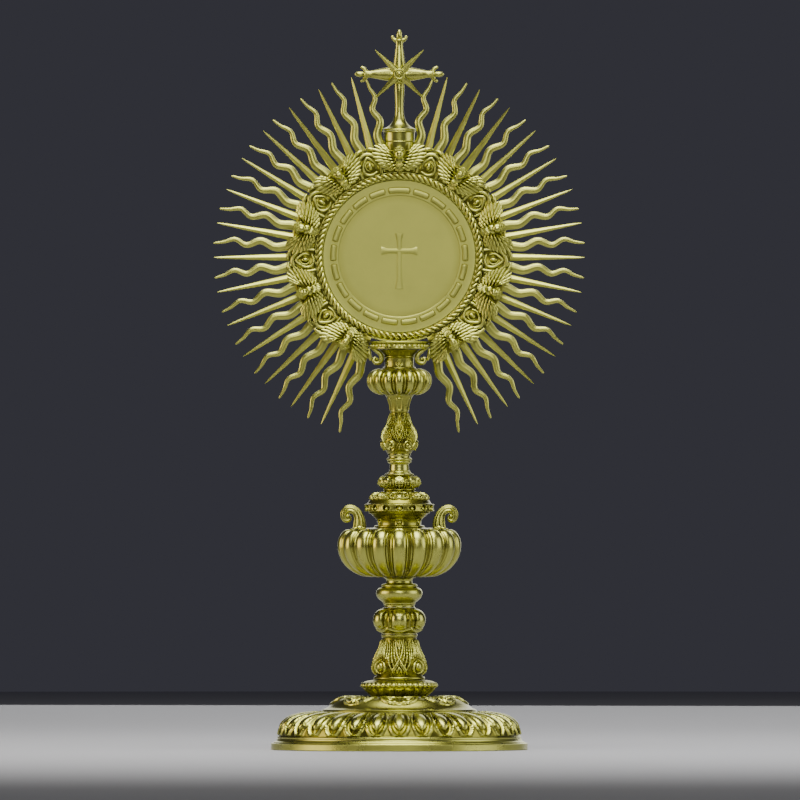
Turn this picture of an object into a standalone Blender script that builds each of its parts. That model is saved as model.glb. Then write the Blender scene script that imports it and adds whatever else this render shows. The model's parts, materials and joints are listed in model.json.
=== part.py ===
"""A gilt sunburst monstrance: foot, urn stem, ray-set display case with a rear door, and cross.

Metres, +Z up, the front towards -Y, the origin at the middle of the foot's underside.
Lengths below are millimetres and pass through mm() or MM once.
"""

import math

import bmesh
import bpy
from mathutils import Matrix, Vector

MM = 0.001
GAP = 0.3  # clearance between pieces that touch on the real object

# Driving dimensions
FOOT_RADIUS = 107.0
CASE_Z = 411.0  # height of the middle of the display case
CROSS_Z = 562.8  # height of the crossing of the arms
ROD_RADIUS = 3.0
ROD_BORE = 3.4
RAY_TIP = 154.5
CROSS_Y = 4.0  # the cross stands behind the top cherub

# Facets of a full turn
STEM_STEPS = 12
HEAD_STEPS = 28
FOOT_STEPS = 28
URN_STEPS = 18

# Case, measured from the middle of the case; depth is forwards, along -Y
DRUM_INNER = 69.0
DRUM_OUTER = 72.0
DRUM_FRONT = 3.0
DRUM_BACK = -14.0
LIP_RADIUS = 65.0
LIP_BACK = 1.5
RING_BORE = DRUM_OUTER + GAP
WREATH_BACK = 3.7
WREATH_FRONT = 8.7
WREATH_OUTER = 91.0

# Rays: angles are from the vertical, mirrored left and right
STRAIGHT_COUNT = 14
WAVY_COUNT = 15
FIRST_STRAIGHT = 15.0
RAY_PITCH = 10.77
STRAIGHT_FOOT = 84.0
WAVY_FOOT = 89.0
WAVY_BESIDE_CROSS_TIP = 149.0

# Door, hinge and turn-button on the back of the case
DOOR_RADIUS = 71.5
HINGE_X = 76.5
HINGE_Y = 15.3
KNUCKLE_RADIUS = 2.6
PIN_RADIUS = 1.2
PIN_BORE = 1.32
LATCH_X = -76.0
SCREW_RADIUS = 1.2
SCREW_HOLE = 1.5

RING_SCREW_RADIUS = 80.0
RING_SCREW_ANGLES = (35, 145, 235, 305)
CHERUB_COUNT = 9
CHERUB_PITCH = 37.0

TO_FRONT = Matrix.Rotation(math.radians(90), 4, "X")  # local +Z becomes -Y
AT_CASE = Matrix.Translation((0, 0, CASE_Z * MM))
IN_CASE = AT_CASE @ TO_FRONT


def clear_scene():
    for obj in list(bpy.data.objects):
        bpy.data.objects.remove(obj)


def collection(name):
    made = bpy.data.collections.new(name)
    bpy.context.scene.collection.children.link(made)
    return made


def material(name, colour, roughness, metallic=1.0):
    made = bpy.data.materials.new(name)
    made.use_nodes = True
    shader = made.node_tree.nodes["Principled BSDF"]
    shader.inputs["Base Color"].default_value = (*colour, 1.0)
    shader.inputs["Roughness"].default_value = roughness
    shader.inputs["Metallic"].default_value = metallic
    return made


clear_scene()
PARTS = collection("monstrance")
CUTTERS = collection("cutters")
GILT = material("gilt_brass", (0.62, 0.58, 0.27), 0.32)
SATIN = material("satin_gilt", (0.60, 0.57, 0.29), 0.45)
STEEL = material("steel", (0.55, 0.55, 0.56), 0.35)


def place(name, mesh, finish, where=None, home=None):
    """An object of this mesh, moved by the matrix where, in the parts unless home says otherwise."""
    obj = bpy.data.objects.new(name, mesh)
    (home or PARTS).objects.link(obj)
    obj.matrix_world = where or Matrix.Identity(4)
    if finish and not mesh.materials:
        mesh.materials.append(finish)
    if home is CUTTERS:
        obj.hide_render = True
        obj.display_type = "WIRE"
    return obj


def mesh_of(name, bm):
    mesh = bpy.data.meshes.new(name)
    bm.to_mesh(mesh)
    bm.free()
    return mesh


def turned(name, profile, finish=GILT, steps=STEM_STEPS, where=None, home=None):
    """A turned piece. The profile of (radius, height) runs down the outer side and back up the bore."""
    bm = bmesh.new()
    points = [bm.verts.new((r * MM, 0, z * MM)) for r, z in profile]
    for a, b in zip(points, points[1:]):
        bm.edges.new((a, b))
    if profile[0][0] > 0:
        bm.edges.new((points[-1], points[0]))
    obj = place(name, mesh_of(name, bm), finish, where, home)
    screw = obj.modifiers.new("turn", "SCREW")
    screw.axis = "Z"
    screw.steps = steps
    screw.render_steps = steps
    screw.use_merge_vertices = True
    screw.merge_threshold = 0.00005
    return obj


def bored(outer, bore=ROD_BORE):
    """An outer profile, top to bottom, closed by a straight bore."""
    return [*outer, (bore, outer[-1][1]), (bore, outer[0][1])]


def box(name, low, high, finish=GILT, home=None):
    bm = bmesh.new()
    size = Vector(high) - Vector(low)
    middle = (Vector(high) + Vector(low)) / 2
    where = Matrix.Translation(middle * MM) @ Matrix.Diagonal((*(size * MM), 1.0))
    bmesh.ops.create_cube(bm, size=1.0, matrix=where)
    return place(name, mesh_of(name, bm), finish, None, home)


def rods(name, radius, low, high, centres, where=None, finish=GILT, home=None, segments=12):
    """Cylinders from height low to height high, one on each centre, in one object."""
    bm = bmesh.new()
    for x, y in centres:
        at = Matrix.Translation(Vector((x, y, (low + high) / 2)) * MM)
        bmesh.ops.create_cone(
            bm, cap_ends=True, segments=segments, radius1=radius * MM, radius2=radius * MM,
            depth=(high - low) * MM, matrix=at,
        )
    return place(name, mesh_of(name, bm), finish, where, home)


def combine(obj, other, operation):
    made = obj.modifiers.new(f"{operation.lower()} {other.name}", "BOOLEAN")
    made.operation = operation
    made.object = other
    return obj


def cut(obj, *cutters):
    for cutter in cutters:
        combine(obj, cutter, "DIFFERENCE")
    return obj


def join(obj, *others):
    for other in others:
        combine(obj, other, "UNION")
    return obj


def polar(radius, degrees):
    angle = math.radians(degrees)
    return radius * math.cos(angle), radius * math.sin(angle)


def baked(name, obj):
    """The object's evaluated shape as a plain closed mesh; the object itself is removed."""
    bpy.context.view_layer.update()
    graph = bpy.context.evaluated_depsgraph_get()
    mesh = bpy.data.meshes.new_from_object(obj.evaluated_get(graph))
    mesh.name = name
    bm = bmesh.new()
    bm.from_mesh(mesh)
    bmesh.ops.remove_doubles(bm, verts=bm.verts, dist=0.00001)
    bm.transform(obj.matrix_world)
    bm.to_mesh(mesh)
    bm.free()
    bpy.data.objects.remove(obj)
    return mesh


# ---------------------------------------------------------------- foot


def build_foot():
    turned("foot_rim", [
        (99.5, 11), (101.8, 11), (103, 7), (105.5, 5.9), (FOOT_RADIUS, 5.4), (FOOT_RADIUS, 0), (91, 0),
        (91, 11),
    ], steps=FOOT_STEPS)
    turned("foot_gadroon_shell", [
        (64.5, 31.2), (76, 29.8), (88, 27.8), (96, 24.5), (100.4, 20), (101, 15), (100.6, 11.3),
        (97.6, 11.3), (97.6, 16), (92, 22.5), (64.5, 28),
    ], steps=FOOT_STEPS)
    turned("foot_dome", [
        (ROD_BORE, 43.5), (51, 43.3), (55.5, 41.4), (59, 38.3), (62, 33.4), (65, 32.7), (65, 31.5),
        (59.5, 31.5), (54, 38.5), (48, 40.5), (ROD_BORE, 40.5),
    ], steps=FOOT_STEPS)


# ---------------------------------------------------------------- stem


def build_lower_stem():
    turned("leaf_dish", bored([
        (23, 57.6), (29.5, 56.4), (31.6, 54), (31.2, 51.5), (27, 48.6), (21, 45.6), (19.5, 43.8)]))
    turned("lower_baluster", bored([
        (15.3, 96), (16.8, 91.5), (16.8, 87), (18.5, 80.5), (22.3, 73.5), (24.2, 67), (22.9, 61),
        (22.9, 57.9)]))
    turned("lobed_knop", bored([
        (14.6, 118.2), (18.5, 115.4), (22.4, 111.6), (23.4, 106.5), (21.8, 101), (15.6, 97), (15.6, 96.3)]))
    turned("ring_knop", bored([
        (13, 143.6), (11.3, 142.2), (12.7, 139), (12.7, 137.2), (17, 134.2), (19.2, 130.3), (17.2, 125),
        (14.4, 120.5), (14.4, 118.5)]))


def build_urn():
    turned("urn_bowl", [
        (19.5, 185.2), (38, 184.6), (46.5, 181.6), (50.6, 176.5), (51.6, 170), (49.3, 160), (43.5, 152.8),
        (34.5, 146.6), (13, 143.9), (ROD_BORE, 143.9), (ROD_BORE, 147.2), (32, 149.5),
        (45, 161), (48.2, 170), (44, 179), (19.5, 182.2),
    ], steps=URN_STEPS)
    turned("urn_neck", bored([
        (27.2, 198), (23.5, 194.5), (19.8, 189.5), (18.9, 187), (21.5, 186), (21.5, 185.5)]))
    turned("oval_band", bored([(28.6, 204.5), (30.1, 203.6), (30.1, 199.2), (29, 198.3)], bore=25))
    turned("urn_lid", bored([(13.5, 213.6), (19.5, 212.6), (24.6, 210), (27.2, 207), (28.2, 204.8)]))
    for name, side in (("handle_left", -1), ("handle_right", 1)):
        build_handle(name, side)


def build_handle(name, side):
    """A C-scroll on the urn's shoulder: a tapering stem that curls outwards."""
    centreline = [
        (33.0, 185.6, 4.2), (33.0, 189.5, 4.2), (34.0, 194.0, 3.9), (36.6, 198.0, 3.4), (40.6, 199.9, 2.9),
        (44.4, 198.6, 2.6), (46.2, 195.0, 2.4), (45.0, 191.8, 2.1), (42.9, 191.4, 1.8),
    ]
    curve = bpy.data.curves.new(name, "CURVE")
    curve.dimensions = "3D"
    curve.bevel_depth = MM
    curve.bevel_resolution = 1
    curve.use_fill_caps = True
    spline = curve.splines.new("POLY")
    spline.points.add(len(centreline) - 1)
    for point, (x, z, radius) in zip(spline.points, centreline):
        point.co = (side * x * MM, 0, z * MM, 1)
        point.radius = radius
    obj = place(f"{name}_curve", curve, None)
    mesh = baked(name, obj)
    place(name, mesh, GILT)


def build_upper_stem():
    turned("lid_knop", bored([
        (10.5, 229.6), (13.2, 227.6), (17.2, 223.6), (18, 221.7), (15.5, 218.2), (13.4, 216.5), (14.5, 213.9)]))
    turned("neck_collar", bored([
        (9.6, 245.2), (9.6, 242), (10.5, 239.2), (8.9, 236), (8.9, 231.6), (10.2, 229.9)]))
    turned("upper_baluster", bored([
        (12, 295.2), (9.8, 290.5), (9.1, 282), (11.8, 273.2), (15.2, 264.5), (15.9, 259), (14.8, 251.2),
        (10.8, 246.6), (10, 245.5)]))
    turned("upper_knop", bored([
        (13, 316.6), (22, 314.4), (26, 311.4), (27.1, 307), (25.5, 302), (18, 297.2), (12.2, 295.5)]))
    turned("head_socket", bored([
        (17.2, 333.2), (13.4, 327), (12.5, 322), (14.5, 317.5), (14.5, 316.9)], bore=8.4))
    turned("socket_cup", [
        (25.2, 340.2), (26.3, 338.9), (25.6, 336), (20, 333.7), (17.3, 333.5),
        (8.4, 333.5), (8.4, 336), (18, 336.6), (23.4, 340.2)])


def build_tie_rod():
    turned("tie_rod", [(0, 329), (ROD_RADIUS, 329), (ROD_RADIUS, 31), (0, 31)], STEEL)
    turned("foot_washer", bored([(9, 40.2), (9, 39.2)]), STEEL)
    turned("foot_nut", bored([(6.5, 38.9), (6.5, 34)], bore=4), STEEL, steps=6)
    turned("head_tang", [
        (0, 338.6), (8, 338.6), (8, 317.2), (ROD_BORE, 317.2), (ROD_BORE, 330), (0, 330)])


# ---------------------------------------------------------------- display case


def build_case():
    drum = turned("case_drum", [
        (LIP_RADIUS, DRUM_FRONT), (DRUM_OUTER, DRUM_FRONT), (DRUM_OUTER, DRUM_BACK), (DRUM_INNER, DRUM_BACK),
        (DRUM_INNER, LIP_BACK), (LIP_RADIUS, LIP_BACK),
    ], steps=HEAD_STEPS, where=IN_CASE)
    wall = DRUM_OUTER - 1.7
    knuckles = []
    for number, (low, high) in enumerate(((5.3, 12), (-12, -5.3)), start=1):
        leaf = box(f"case_leaf_{number}", (wall, 9.5, CASE_Z + low), (HINGE_X + 1, 13.7, CASE_Z + high),
                   home=CUTTERS)
        barrel = rods(f"case_barrel_{number}", KNUCKLE_RADIUS, CASE_Z + low, CASE_Z + high,
                      [(HINGE_X, HINGE_Y)], home=CUTTERS, segments=16)
        knuckles += [leaf, barrel]
    lug = box("latch_lug", (LATCH_X - 3, 8, CASE_Z - 4), (-wall, 13.8, CASE_Z + 4), home=CUTTERS)
    post = box("latch_post", (LATCH_X - 3, 8, CASE_Z - 4), (-DOOR_RADIUS - 0.9, 17.3, CASE_Z + 4),
               home=CUTTERS)
    bore = rods("pin_bore", PIN_BORE, CASE_Z - 14, CASE_Z + 14, [(HINGE_X, HINGE_Y)], home=CUTTERS,
                segments=16)
    latch_hole = rods("latch_screw_hole", SCREW_HOLE, -24, -9.6, [(LATCH_X, 0)], where=IN_CASE, home=CUTTERS)
    join(drum, *knuckles, lug, post)
    cut(drum, bore, latch_hole)

    turned("rope_bezel", [
        (66.6, 9.1), (68.7, 8.2), (69.4, 6.2), (69.4, 3.3), (63.8, 3.3), (63.8, 6.2), (64.5, 8.2),
    ], steps=HEAD_STEPS, where=IN_CASE)
    turned("display_disc", [
        (0, 3.6), (50.5, 3.6), (51.2, 4), (63.4, 4), (63.4, 1.2), (68, 1.2), (68, -0.8), (0, -0.8),
    ], SATIN, steps=HEAD_STEPS, where=IN_CASE)
    turned("disc_ring", bored([(68, -1.1), (68, -6)], bore=60), steps=HEAD_STEPS, where=IN_CASE)
    snap = turned("disc_snap_ring", bored([(68.5, -6.3), (68.5, -7.5)], bore=66), STEEL, steps=HEAD_STEPS,
                  where=IN_CASE)
    cut(snap, box("snap_gap", (-5, 0, CASE_Z + 60), (5, 12, CASE_Z + 75), home=CUTTERS))
    return bore


def build_door(bore):
    door = turned("rear_door", [
        (0, -14.3), (DOOR_RADIUS, -14.3), (DOOR_RADIUS, -16.3), (67.5, -17.2), (64.5, -16.3), (40, -17.6),
        (0, -18.4),
    ], steps=HEAD_STEPS, where=IN_CASE)
    leaf = box("door_leaf", (DOOR_RADIUS - 2, 14.3, CASE_Z - 5), (HINGE_X, 16.3, CASE_Z + 5), home=CUTTERS)
    barrel = rods("door_barrel", KNUCKLE_RADIUS, CASE_Z - 5, CASE_Z + 5, [(HINGE_X, HINGE_Y)],
                  home=CUTTERS, segments=16)
    cut(join(door, leaf, barrel), bore)
    turned("hinge_pin", [
        (0, CASE_Z + 14), (2, CASE_Z + 13.6), (2, CASE_Z + 12.4), (PIN_RADIUS, CASE_Z + 12.4),
        (PIN_RADIUS, CASE_Z - 12.6), (0, CASE_Z - 12.6),
    ], STEEL, steps=16, where=Matrix.Translation(Vector((HINGE_X, HINGE_Y, 0)) * MM))
    turned("door_knob", [
        (0, -17.2), (3, -17.2), (2.2, -19.5), (3.4, -23), (2.6, -25.4), (0, -26.2),
    ], steps=12, where=IN_CASE @ Matrix.Translation(Vector((-55, 0, 0)) * MM))


def build_latch():
    """A turn-button, drawn open: its long end points up and swings over the door's rim to lock it."""
    bar = box("latch_bar", (LATCH_X - 2.6, 17.6, CASE_Z - 4), (LATCH_X + 2.6, 19.2, CASE_Z + 13))
    tab = box("latch_tab", (LATCH_X - 2.6, 18.4, CASE_Z + 11.4), (LATCH_X + 2.6, 23, CASE_Z + 13),
              home=CUTTERS)
    hole = rods("latch_bar_hole", SCREW_HOLE, -24, -9.6, [(LATCH_X, 0)], where=IN_CASE, home=CUTTERS,
                segments=16)
    cut(join(bar, tab), hole)
    pivot = Vector((LATCH_X, 17.6, CASE_Z)) * MM
    bar.data.transform(Matrix.Translation(-pivot))
    bar.location = pivot
    turned("latch_screw", [
        (0, -10), (SCREW_RADIUS, -10), (SCREW_RADIUS, -19.5), (2.8, -19.5), (2.4, -21), (0, -21),
    ], STEEL, steps=16, where=IN_CASE @ Matrix.Translation(Vector((LATCH_X, 0, 0)) * MM))


# ---------------------------------------------------------------- glory


def straight_ray(bm, angle, tip=RAY_TIP):
    """A tapering bar of triangular section, its ridge to the front, at this angle from the vertical."""
    length = tip - STRAIGHT_FOOT
    half_width = 3.0
    bmesh.ops.create_cone(
        bm, cap_ends=True, segments=3, radius1=2 * half_width / math.sqrt(3) * MM, radius2=0.25 * MM,
        depth=length * MM,
        matrix=Matrix.Rotation(math.radians(angle), 4, "Y")
        @ Matrix.Translation(Vector((0, -1.25, STRAIGHT_FOOT + length / 2)) * MM)
        @ Matrix.Diagonal((1, 0.6, 1, 1)) @ Matrix.Rotation(math.pi, 4, "Z"),
    )


def wavy_ray_mesh(tip):
    """One flame-shaped ray, upright: a four-sided bar that swings from side to side and thins to its tip."""
    waves = 3.4
    stations = 8
    curve = bpy.data.curves.new("wavy_ray", "CURVE")
    curve.dimensions = "3D"
    curve.bevel_depth = MM
    curve.bevel_resolution = 0
    curve.use_fill_caps = True
    spline = curve.splines.new("POLY")
    spline.points.add(stations - 1)
    for i, point in enumerate(spline.points):
        share = i / (stations - 1)
        sway = 1.9 * math.sin(waves * math.pi * share) * (1 if i else 0)
        point.co = (sway * MM, 0, (WAVY_FOOT + (tip - WAVY_FOOT) * share) * MM, 1)
        point.radius = 3.6 * (1 - share) ** 0.85 + 0.25
    obj = place("wavy_ray_curve", curve, None)
    mesh = baked("wavy_ray", obj)
    mesh.transform(Matrix.Diagonal((1, 0.45, 1, 1)))
    return mesh


def wavy_rays_mesh():
    bm = bmesh.new()
    for index in range(WAVY_COUNT):
        angle = FIRST_STRAIGHT + (index - 0.5) * RAY_PITCH
        template = wavy_ray_mesh(WAVY_BESIDE_CROSS_TIP if index == 0 else RAY_TIP)
        for side in (1, -1):
            copy = template.copy()
            if side < 0:
                copy.transform(Matrix.Diagonal((-1, 1, 1, 1)))
                copy.flip_normals()
            copy.transform(Matrix.Rotation(math.radians(side * angle), 4, "Y"))
            bm.from_mesh(copy)
            bpy.data.meshes.remove(copy)
        bpy.data.meshes.remove(template)
    return mesh_of("wavy_ray_bars", bm)


def straight_rays_mesh():
    bm = bmesh.new()
    for index in range(STRAIGHT_COUNT):
        for side in (1, -1):
            straight_ray(bm, side * (FIRST_STRAIGHT + index * RAY_PITCH))
    return mesh_of("straight_ray_bars", bm)


def build_glory():
    notch = box("socket_notch", (-27, -12, CASE_Z - 100), (27, 8, CASE_Z - 55), home=CUTTERS)
    screw_places = [polar(RING_SCREW_RADIUS, angle) for angle in RING_SCREW_ANGLES]
    holes = rods("ring_screw_holes", SCREW_HOLE, -8, 6.9, screw_places, where=IN_CASE, home=CUTTERS)
    straight = turned("straight_rays", bored([(88, 2), (88, 0.2)], bore=RING_BORE), steps=HEAD_STEPS,
                      where=IN_CASE)
    bars = place("straight_ray_bars", straight_rays_mesh(), GILT, AT_CASE, CUTTERS)
    cut(join(straight, bars), notch, holes)
    wavy = turned("wavy_rays", bored([(WREATH_OUTER, -0.1), (WREATH_OUTER, -1.9)], bore=RING_BORE),
                  steps=HEAD_STEPS, where=IN_CASE)
    bars = place("wavy_ray_bars", wavy_rays_mesh(), GILT, AT_CASE, CUTTERS)
    cut(join(wavy, bars), notch, holes)
    rear = turned("rear_ring", bored([(88, -2.2), (88, -4.2)], bore=RING_BORE), steps=HEAD_STEPS,
                  where=IN_CASE)
    tab = box("cross_tab", (-5, 2.2, CASE_Z + 86), (5, 5.2, CASE_Z + WREATH_OUTER + 0.2), home=CUTTERS)
    cut(join(rear, tab), notch, holes)
    wreath = turned("cloud_wreath", [
        (80, WREATH_FRONT), (87, 7.6), (WREATH_OUTER, 5.4), (WREATH_OUTER, WREATH_BACK), (70, WREATH_BACK),
        (70, 6), (74, 8.1),
    ], steps=HEAD_STEPS, where=IN_CASE)
    cut(wreath, notch, holes)
    for number, angle in enumerate(RING_SCREW_ANGLES, start=1):
        x, y = polar(RING_SCREW_RADIUS, angle)
        turned(f"ring_screw_{number}", [
            (0, 6.5), (SCREW_RADIUS, 6.5), (SCREW_RADIUS, -4.5), (2.6, -4.5), (2.2, -6), (0, -6),
        ], STEEL, steps=8, where=IN_CASE @ Matrix.Translation(Vector((x, y, 0)) * MM))


def ellipsoid(name, centre, radii, tilt=0.0):
    bm = bmesh.new()
    bmesh.ops.create_uvsphere(
        bm, u_segments=6, v_segments=4, radius=MM,
        matrix=Matrix.Translation(Vector(centre) * MM) @ Matrix.Rotation(math.radians(tilt), 4, "Y")
        @ Matrix.Diagonal((*radii, 1)),
    )
    return place(name, mesh_of(name, bm), GILT, None, CUTTERS)


def build_cherubs():
    """Nine winged heads on the wreath: one mesh, turned round the case from the top one."""
    body = ellipsoid("cherub_body", (0, -11.3, 81.5), (3.6, 2.2, 8))
    head = ellipsoid("cherub_head", (0, -13.2, 89.6), (3.9, 4.0, 4.4))
    wings = [
        ellipsoid(f"cherub_wing_{side}", (side * 8.2, -10.8, 86.2), (4.8, 1.7, 12), tilt=side * 32)
        for side in (-1, 1)
    ]
    mesh = baked("cherub", join(body, head, *wings))
    first = -CHERUB_PITCH * (CHERUB_COUNT - 1) / 2
    for index in range(CHERUB_COUNT):
        turn = Matrix.Rotation(math.radians(first + index * CHERUB_PITCH), 4, "Y")
        place(f"cherub_{index + 1}", mesh, GILT, AT_CASE @ turn)


# ---------------------------------------------------------------- cross


def build_cross():
    stand = Matrix.Translation(Vector((0, CROSS_Y, 0)) * MM)
    turned("cross_socket", bored([
        (14.2, 515.6), (14.2, 514.7), (13.2, 513.6), (12.7, 508), (11, 502.6)], bore=2.4), where=stand)
    turned("cross_shaft", [
        (0, 556.2), (5.2, 556.2), (5.5, 555), (4.2, 551), (3.5, 540), (3.5, 531), (5, 522), (7.4, 518.4),
        (13.6, 516.3), (13.6, 515.9), (2, 515.9), (2, 507), (0, 507),
    ], where=stand)
    build_cross_arms()
    star = star_plate("cross_star", tip=28.3, waist=5.5, thickness=1.4)
    star.matrix_world = Matrix.Translation(Vector((0, CROSS_Y - 5.9, CROSS_Z)) * MM) @ TO_FRONT
    turned("cross_boss", [
        (0, 3.2), (1.6, 3), (2.2, 1.9), (3.8, 2.2), (4.7, 1), (4.7, 0), (0, 0),
    ], steps=16, where=Matrix.Translation(Vector((0, CROSS_Y - 6.9, CROSS_Z)) * MM) @ TO_FRONT)


def build_cross_arms():
    """Two waisted bars that cross, with a bud at each free end and a side leaf each way beside it."""
    end = 37.2
    bud = [(0, end), (1.9, end - 1.2), (2.6, end - 3.6), (2.3, end - 6), (3.4, 22), (5.6, 8.7)]
    flat = Matrix.Diagonal((1, 0.75, 1, 1))
    middle = Matrix.Translation(Vector((0, CROSS_Y, CROSS_Z)) * MM)
    upright = remake(turned("cross_arms", [*bud, (5, -6.3), (0, -6.3)], steps=8), middle @ flat)
    slimmer = Matrix.Diagonal((1, 0.72, 0.97, 1))
    across = turned("cross_beam", [*bud, *[(r, -z) for r, z in reversed(bud)]], steps=8, home=CUTTERS,
                    where=middle @ slimmer @ Matrix.Rotation(math.radians(90), 4, "Y"))
    leaves = bmesh.new()
    for turn in (0, 90, -90):
        for side in (-1, 1):
            at = Matrix.Rotation(math.radians(turn), 4, "Y") @ Matrix.Translation(
                Vector((side * 4.4, 0, end - 6.8)) * MM)
            bmesh.ops.create_uvsphere(leaves, u_segments=6, v_segments=4, radius=2.1 * MM,
                                      matrix=at @ Matrix.Rotation(math.radians(side * 50), 4, "Y")
                                      @ Matrix.Diagonal((0.75, 0.8, 1.25, 1)))
    leaf_set = place("cross_leaves", mesh_of("cross_leaves", leaves), GILT, middle, CUTTERS)
    join(upright, across, leaf_set)


def remake(obj, where):
    """Bakes a turned piece and puts it back flattened, so that its joins see the final shape."""
    name = obj.name
    obj.name = f"{name}_round"
    mesh = baked(name, obj)
    mesh.transform(where)
    return place(name, mesh, GILT)


def star_plate(name, tip, waist, thickness):
    """A flat plate with four points on the diagonals."""
    curve = bpy.data.curves.new(name, "CURVE")
    curve.dimensions = "2D"
    curve.fill_mode = "BOTH"
    curve.extrude = thickness / 2 * MM
    spline = curve.splines.new("POLY")
    spline.points.add(11)
    for corner in range(4):
        middle = 45 + 90 * corner
        outline = ((waist, middle - 30), (tip, middle), (waist, middle + 30))
        for k, (radius, angle) in enumerate(outline):
            x, y = polar(radius, angle)
            spline.points[3 * corner + k].co = (x * MM, y * MM, 0, 1)
    spline.use_cyclic_u = True
    return place(name, baked(name, place(f"{name}_curve", curve, None)), GILT)


def build_all():
    build_foot()
    build_lower_stem()
    build_urn()
    build_upper_stem()
    build_tie_rod()
    bore = build_case()
    build_door(bore)
    build_latch()
    build_glory()
    build_cherubs()
    build_cross()


build_all()
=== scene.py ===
"""Looks for the gilt sunburst monstrance: chased ornament, rays, winged heads and gilding.

Lengths are millimetres and pass through MM once. Angles round a turned piece are measured from the
front, growing to the right. Every piece takes its place from the CAD node that it stands for.
"""

import json
import math
import random

import bpy
import numpy as np
from mathutils import Matrix, Vector


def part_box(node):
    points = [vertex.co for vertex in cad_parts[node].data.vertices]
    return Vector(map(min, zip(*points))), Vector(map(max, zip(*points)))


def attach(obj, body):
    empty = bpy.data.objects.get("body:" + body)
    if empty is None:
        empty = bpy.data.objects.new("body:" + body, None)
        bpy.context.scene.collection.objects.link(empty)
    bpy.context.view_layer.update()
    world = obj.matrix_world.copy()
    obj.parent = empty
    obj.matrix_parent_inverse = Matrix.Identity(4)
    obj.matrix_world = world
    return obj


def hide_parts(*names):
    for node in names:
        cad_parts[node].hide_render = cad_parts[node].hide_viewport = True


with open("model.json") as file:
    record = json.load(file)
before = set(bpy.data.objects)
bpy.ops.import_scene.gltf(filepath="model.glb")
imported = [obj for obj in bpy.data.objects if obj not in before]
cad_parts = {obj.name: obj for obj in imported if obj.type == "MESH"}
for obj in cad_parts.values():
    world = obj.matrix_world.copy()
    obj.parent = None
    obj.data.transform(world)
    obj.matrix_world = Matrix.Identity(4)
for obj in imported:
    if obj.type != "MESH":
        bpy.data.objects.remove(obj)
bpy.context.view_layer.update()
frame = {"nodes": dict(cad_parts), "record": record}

MM = 0.001
TAU = 2 * math.pi


def span(node):
    """Lowest and highest corner of a CAD node, in millimetres."""
    low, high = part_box(node)
    return low / MM, high / MM


def middle(node):
    """The middle of a CAD node's box, in millimetres."""
    low, high = span(node)
    return (low + high) / 2


CASE = middle("display_disc")  # the display case is centred on the disc
CASE.y = 0
CROSS = middle("cross_star")
STEM_BORE = 3.4

# ------------------------------------------------------------------ shaping helpers


def smooth(a, b, x):
    """0 below a, 1 above b, with a soft step between."""
    t = np.clip((np.asarray(x, float) - a) / (b - a), 0, 1)
    return t * t * (3 - 2 * t)


def pulse(a, b, x, soft):
    """1 between a and b, 0 outside, with soft edges."""
    return smooth(a - soft, a + soft, x) * (1 - smooth(b - soft, b + soft, x))


def ridge(d, width):
    """A soft swelling: 1 at d = 0, falling off over the width."""
    return np.exp(-((d / width) ** 2))


def dome(d):
    """A round swelling: 1 in the middle, 0 from |d| = 1 outwards."""
    return np.sqrt(np.clip(1 - d * d, 0, 1))


def repeat(angle, count, phase=0.0):
    """The angle from the nearest of count evenly spaced lines, one of which is at phase."""
    pitch = TAU / count
    return (angle - phase + pitch / 2) % pitch - pitch / 2


def along(points, t):
    """Points of a smooth curve through the given points, at shares t of its length."""
    p = np.asarray(points, float)
    knots = np.concatenate([[0], np.cumsum(np.linalg.norm(np.diff(p[:, :2], axis=0), axis=1))])
    slopes = np.gradient(p, knots, axis=0)
    x = np.asarray(t, float) * knots[-1]
    i = np.clip(np.searchsorted(knots, x, side="right") - 1, 0, len(knots) - 2)
    width = (knots[i + 1] - knots[i])[:, None]
    u = (x - knots[i])[:, None] / width
    h00, h10 = 2 * u**3 - 3 * u**2 + 1, u**3 - 2 * u**2 + u
    h01, h11 = 3 * u**2 - 2 * u**3, u**3 - u**2
    return h00 * p[i] + h10 * width * slopes[i] + h01 * p[i + 1] + h11 * width * slopes[i + 1]


def strokes(u, v, lines, pieces=10):
    """Height of rounded strokes chased on a surface.

    A line is (points, half width, height), and tapers to its ends.
    """
    total = 0 * (u + v)
    for points, half, height in lines:
        share = np.linspace(0, 1, pieces + 1)
        p = along(points, share) if len(points) > 2 else np.linspace(points[0], points[1], pieces + 1)
        taper = 0.35 + 0.65 * np.sin(math.pi * (0.12 + 0.8 * (share[:-1] + share[1:]) / 2))
        for start, end, width in zip(p, p[1:], half * taper):
            run = end - start
            k = np.clip(((u - start[0]) * run[0] + (v - start[1]) * run[1]) / (run @ run + 1e-9), 0, 1)
            d = np.hypot(u - start[0] - k * run[0], v - start[1] - k * run[1])
            total = np.maximum(total, height * width / half * dome(np.clip(d / width, 0, 1)))
    return total


def outline(runs, step):
    """Even steps along smooth runs that meet at corners. Each run starts where the last ended."""
    rows = []
    for run in runs:
        run = np.array([rows[-1][-1], *run] if rows else run, float)
        length = np.linalg.norm(np.diff(run, axis=0), axis=1).sum()
        share = np.linspace(0, 1, max(2, int(round(length / step)) + 1))
        points = along(run, share) if len(run) > 2 else np.linspace(run[0], run[1], len(share))
        rows.append(points[1:] if rows else points)
    return np.concatenate(rows)


CREASE = 38  # degrees; an edge sharper than this is not shaded smooth


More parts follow.
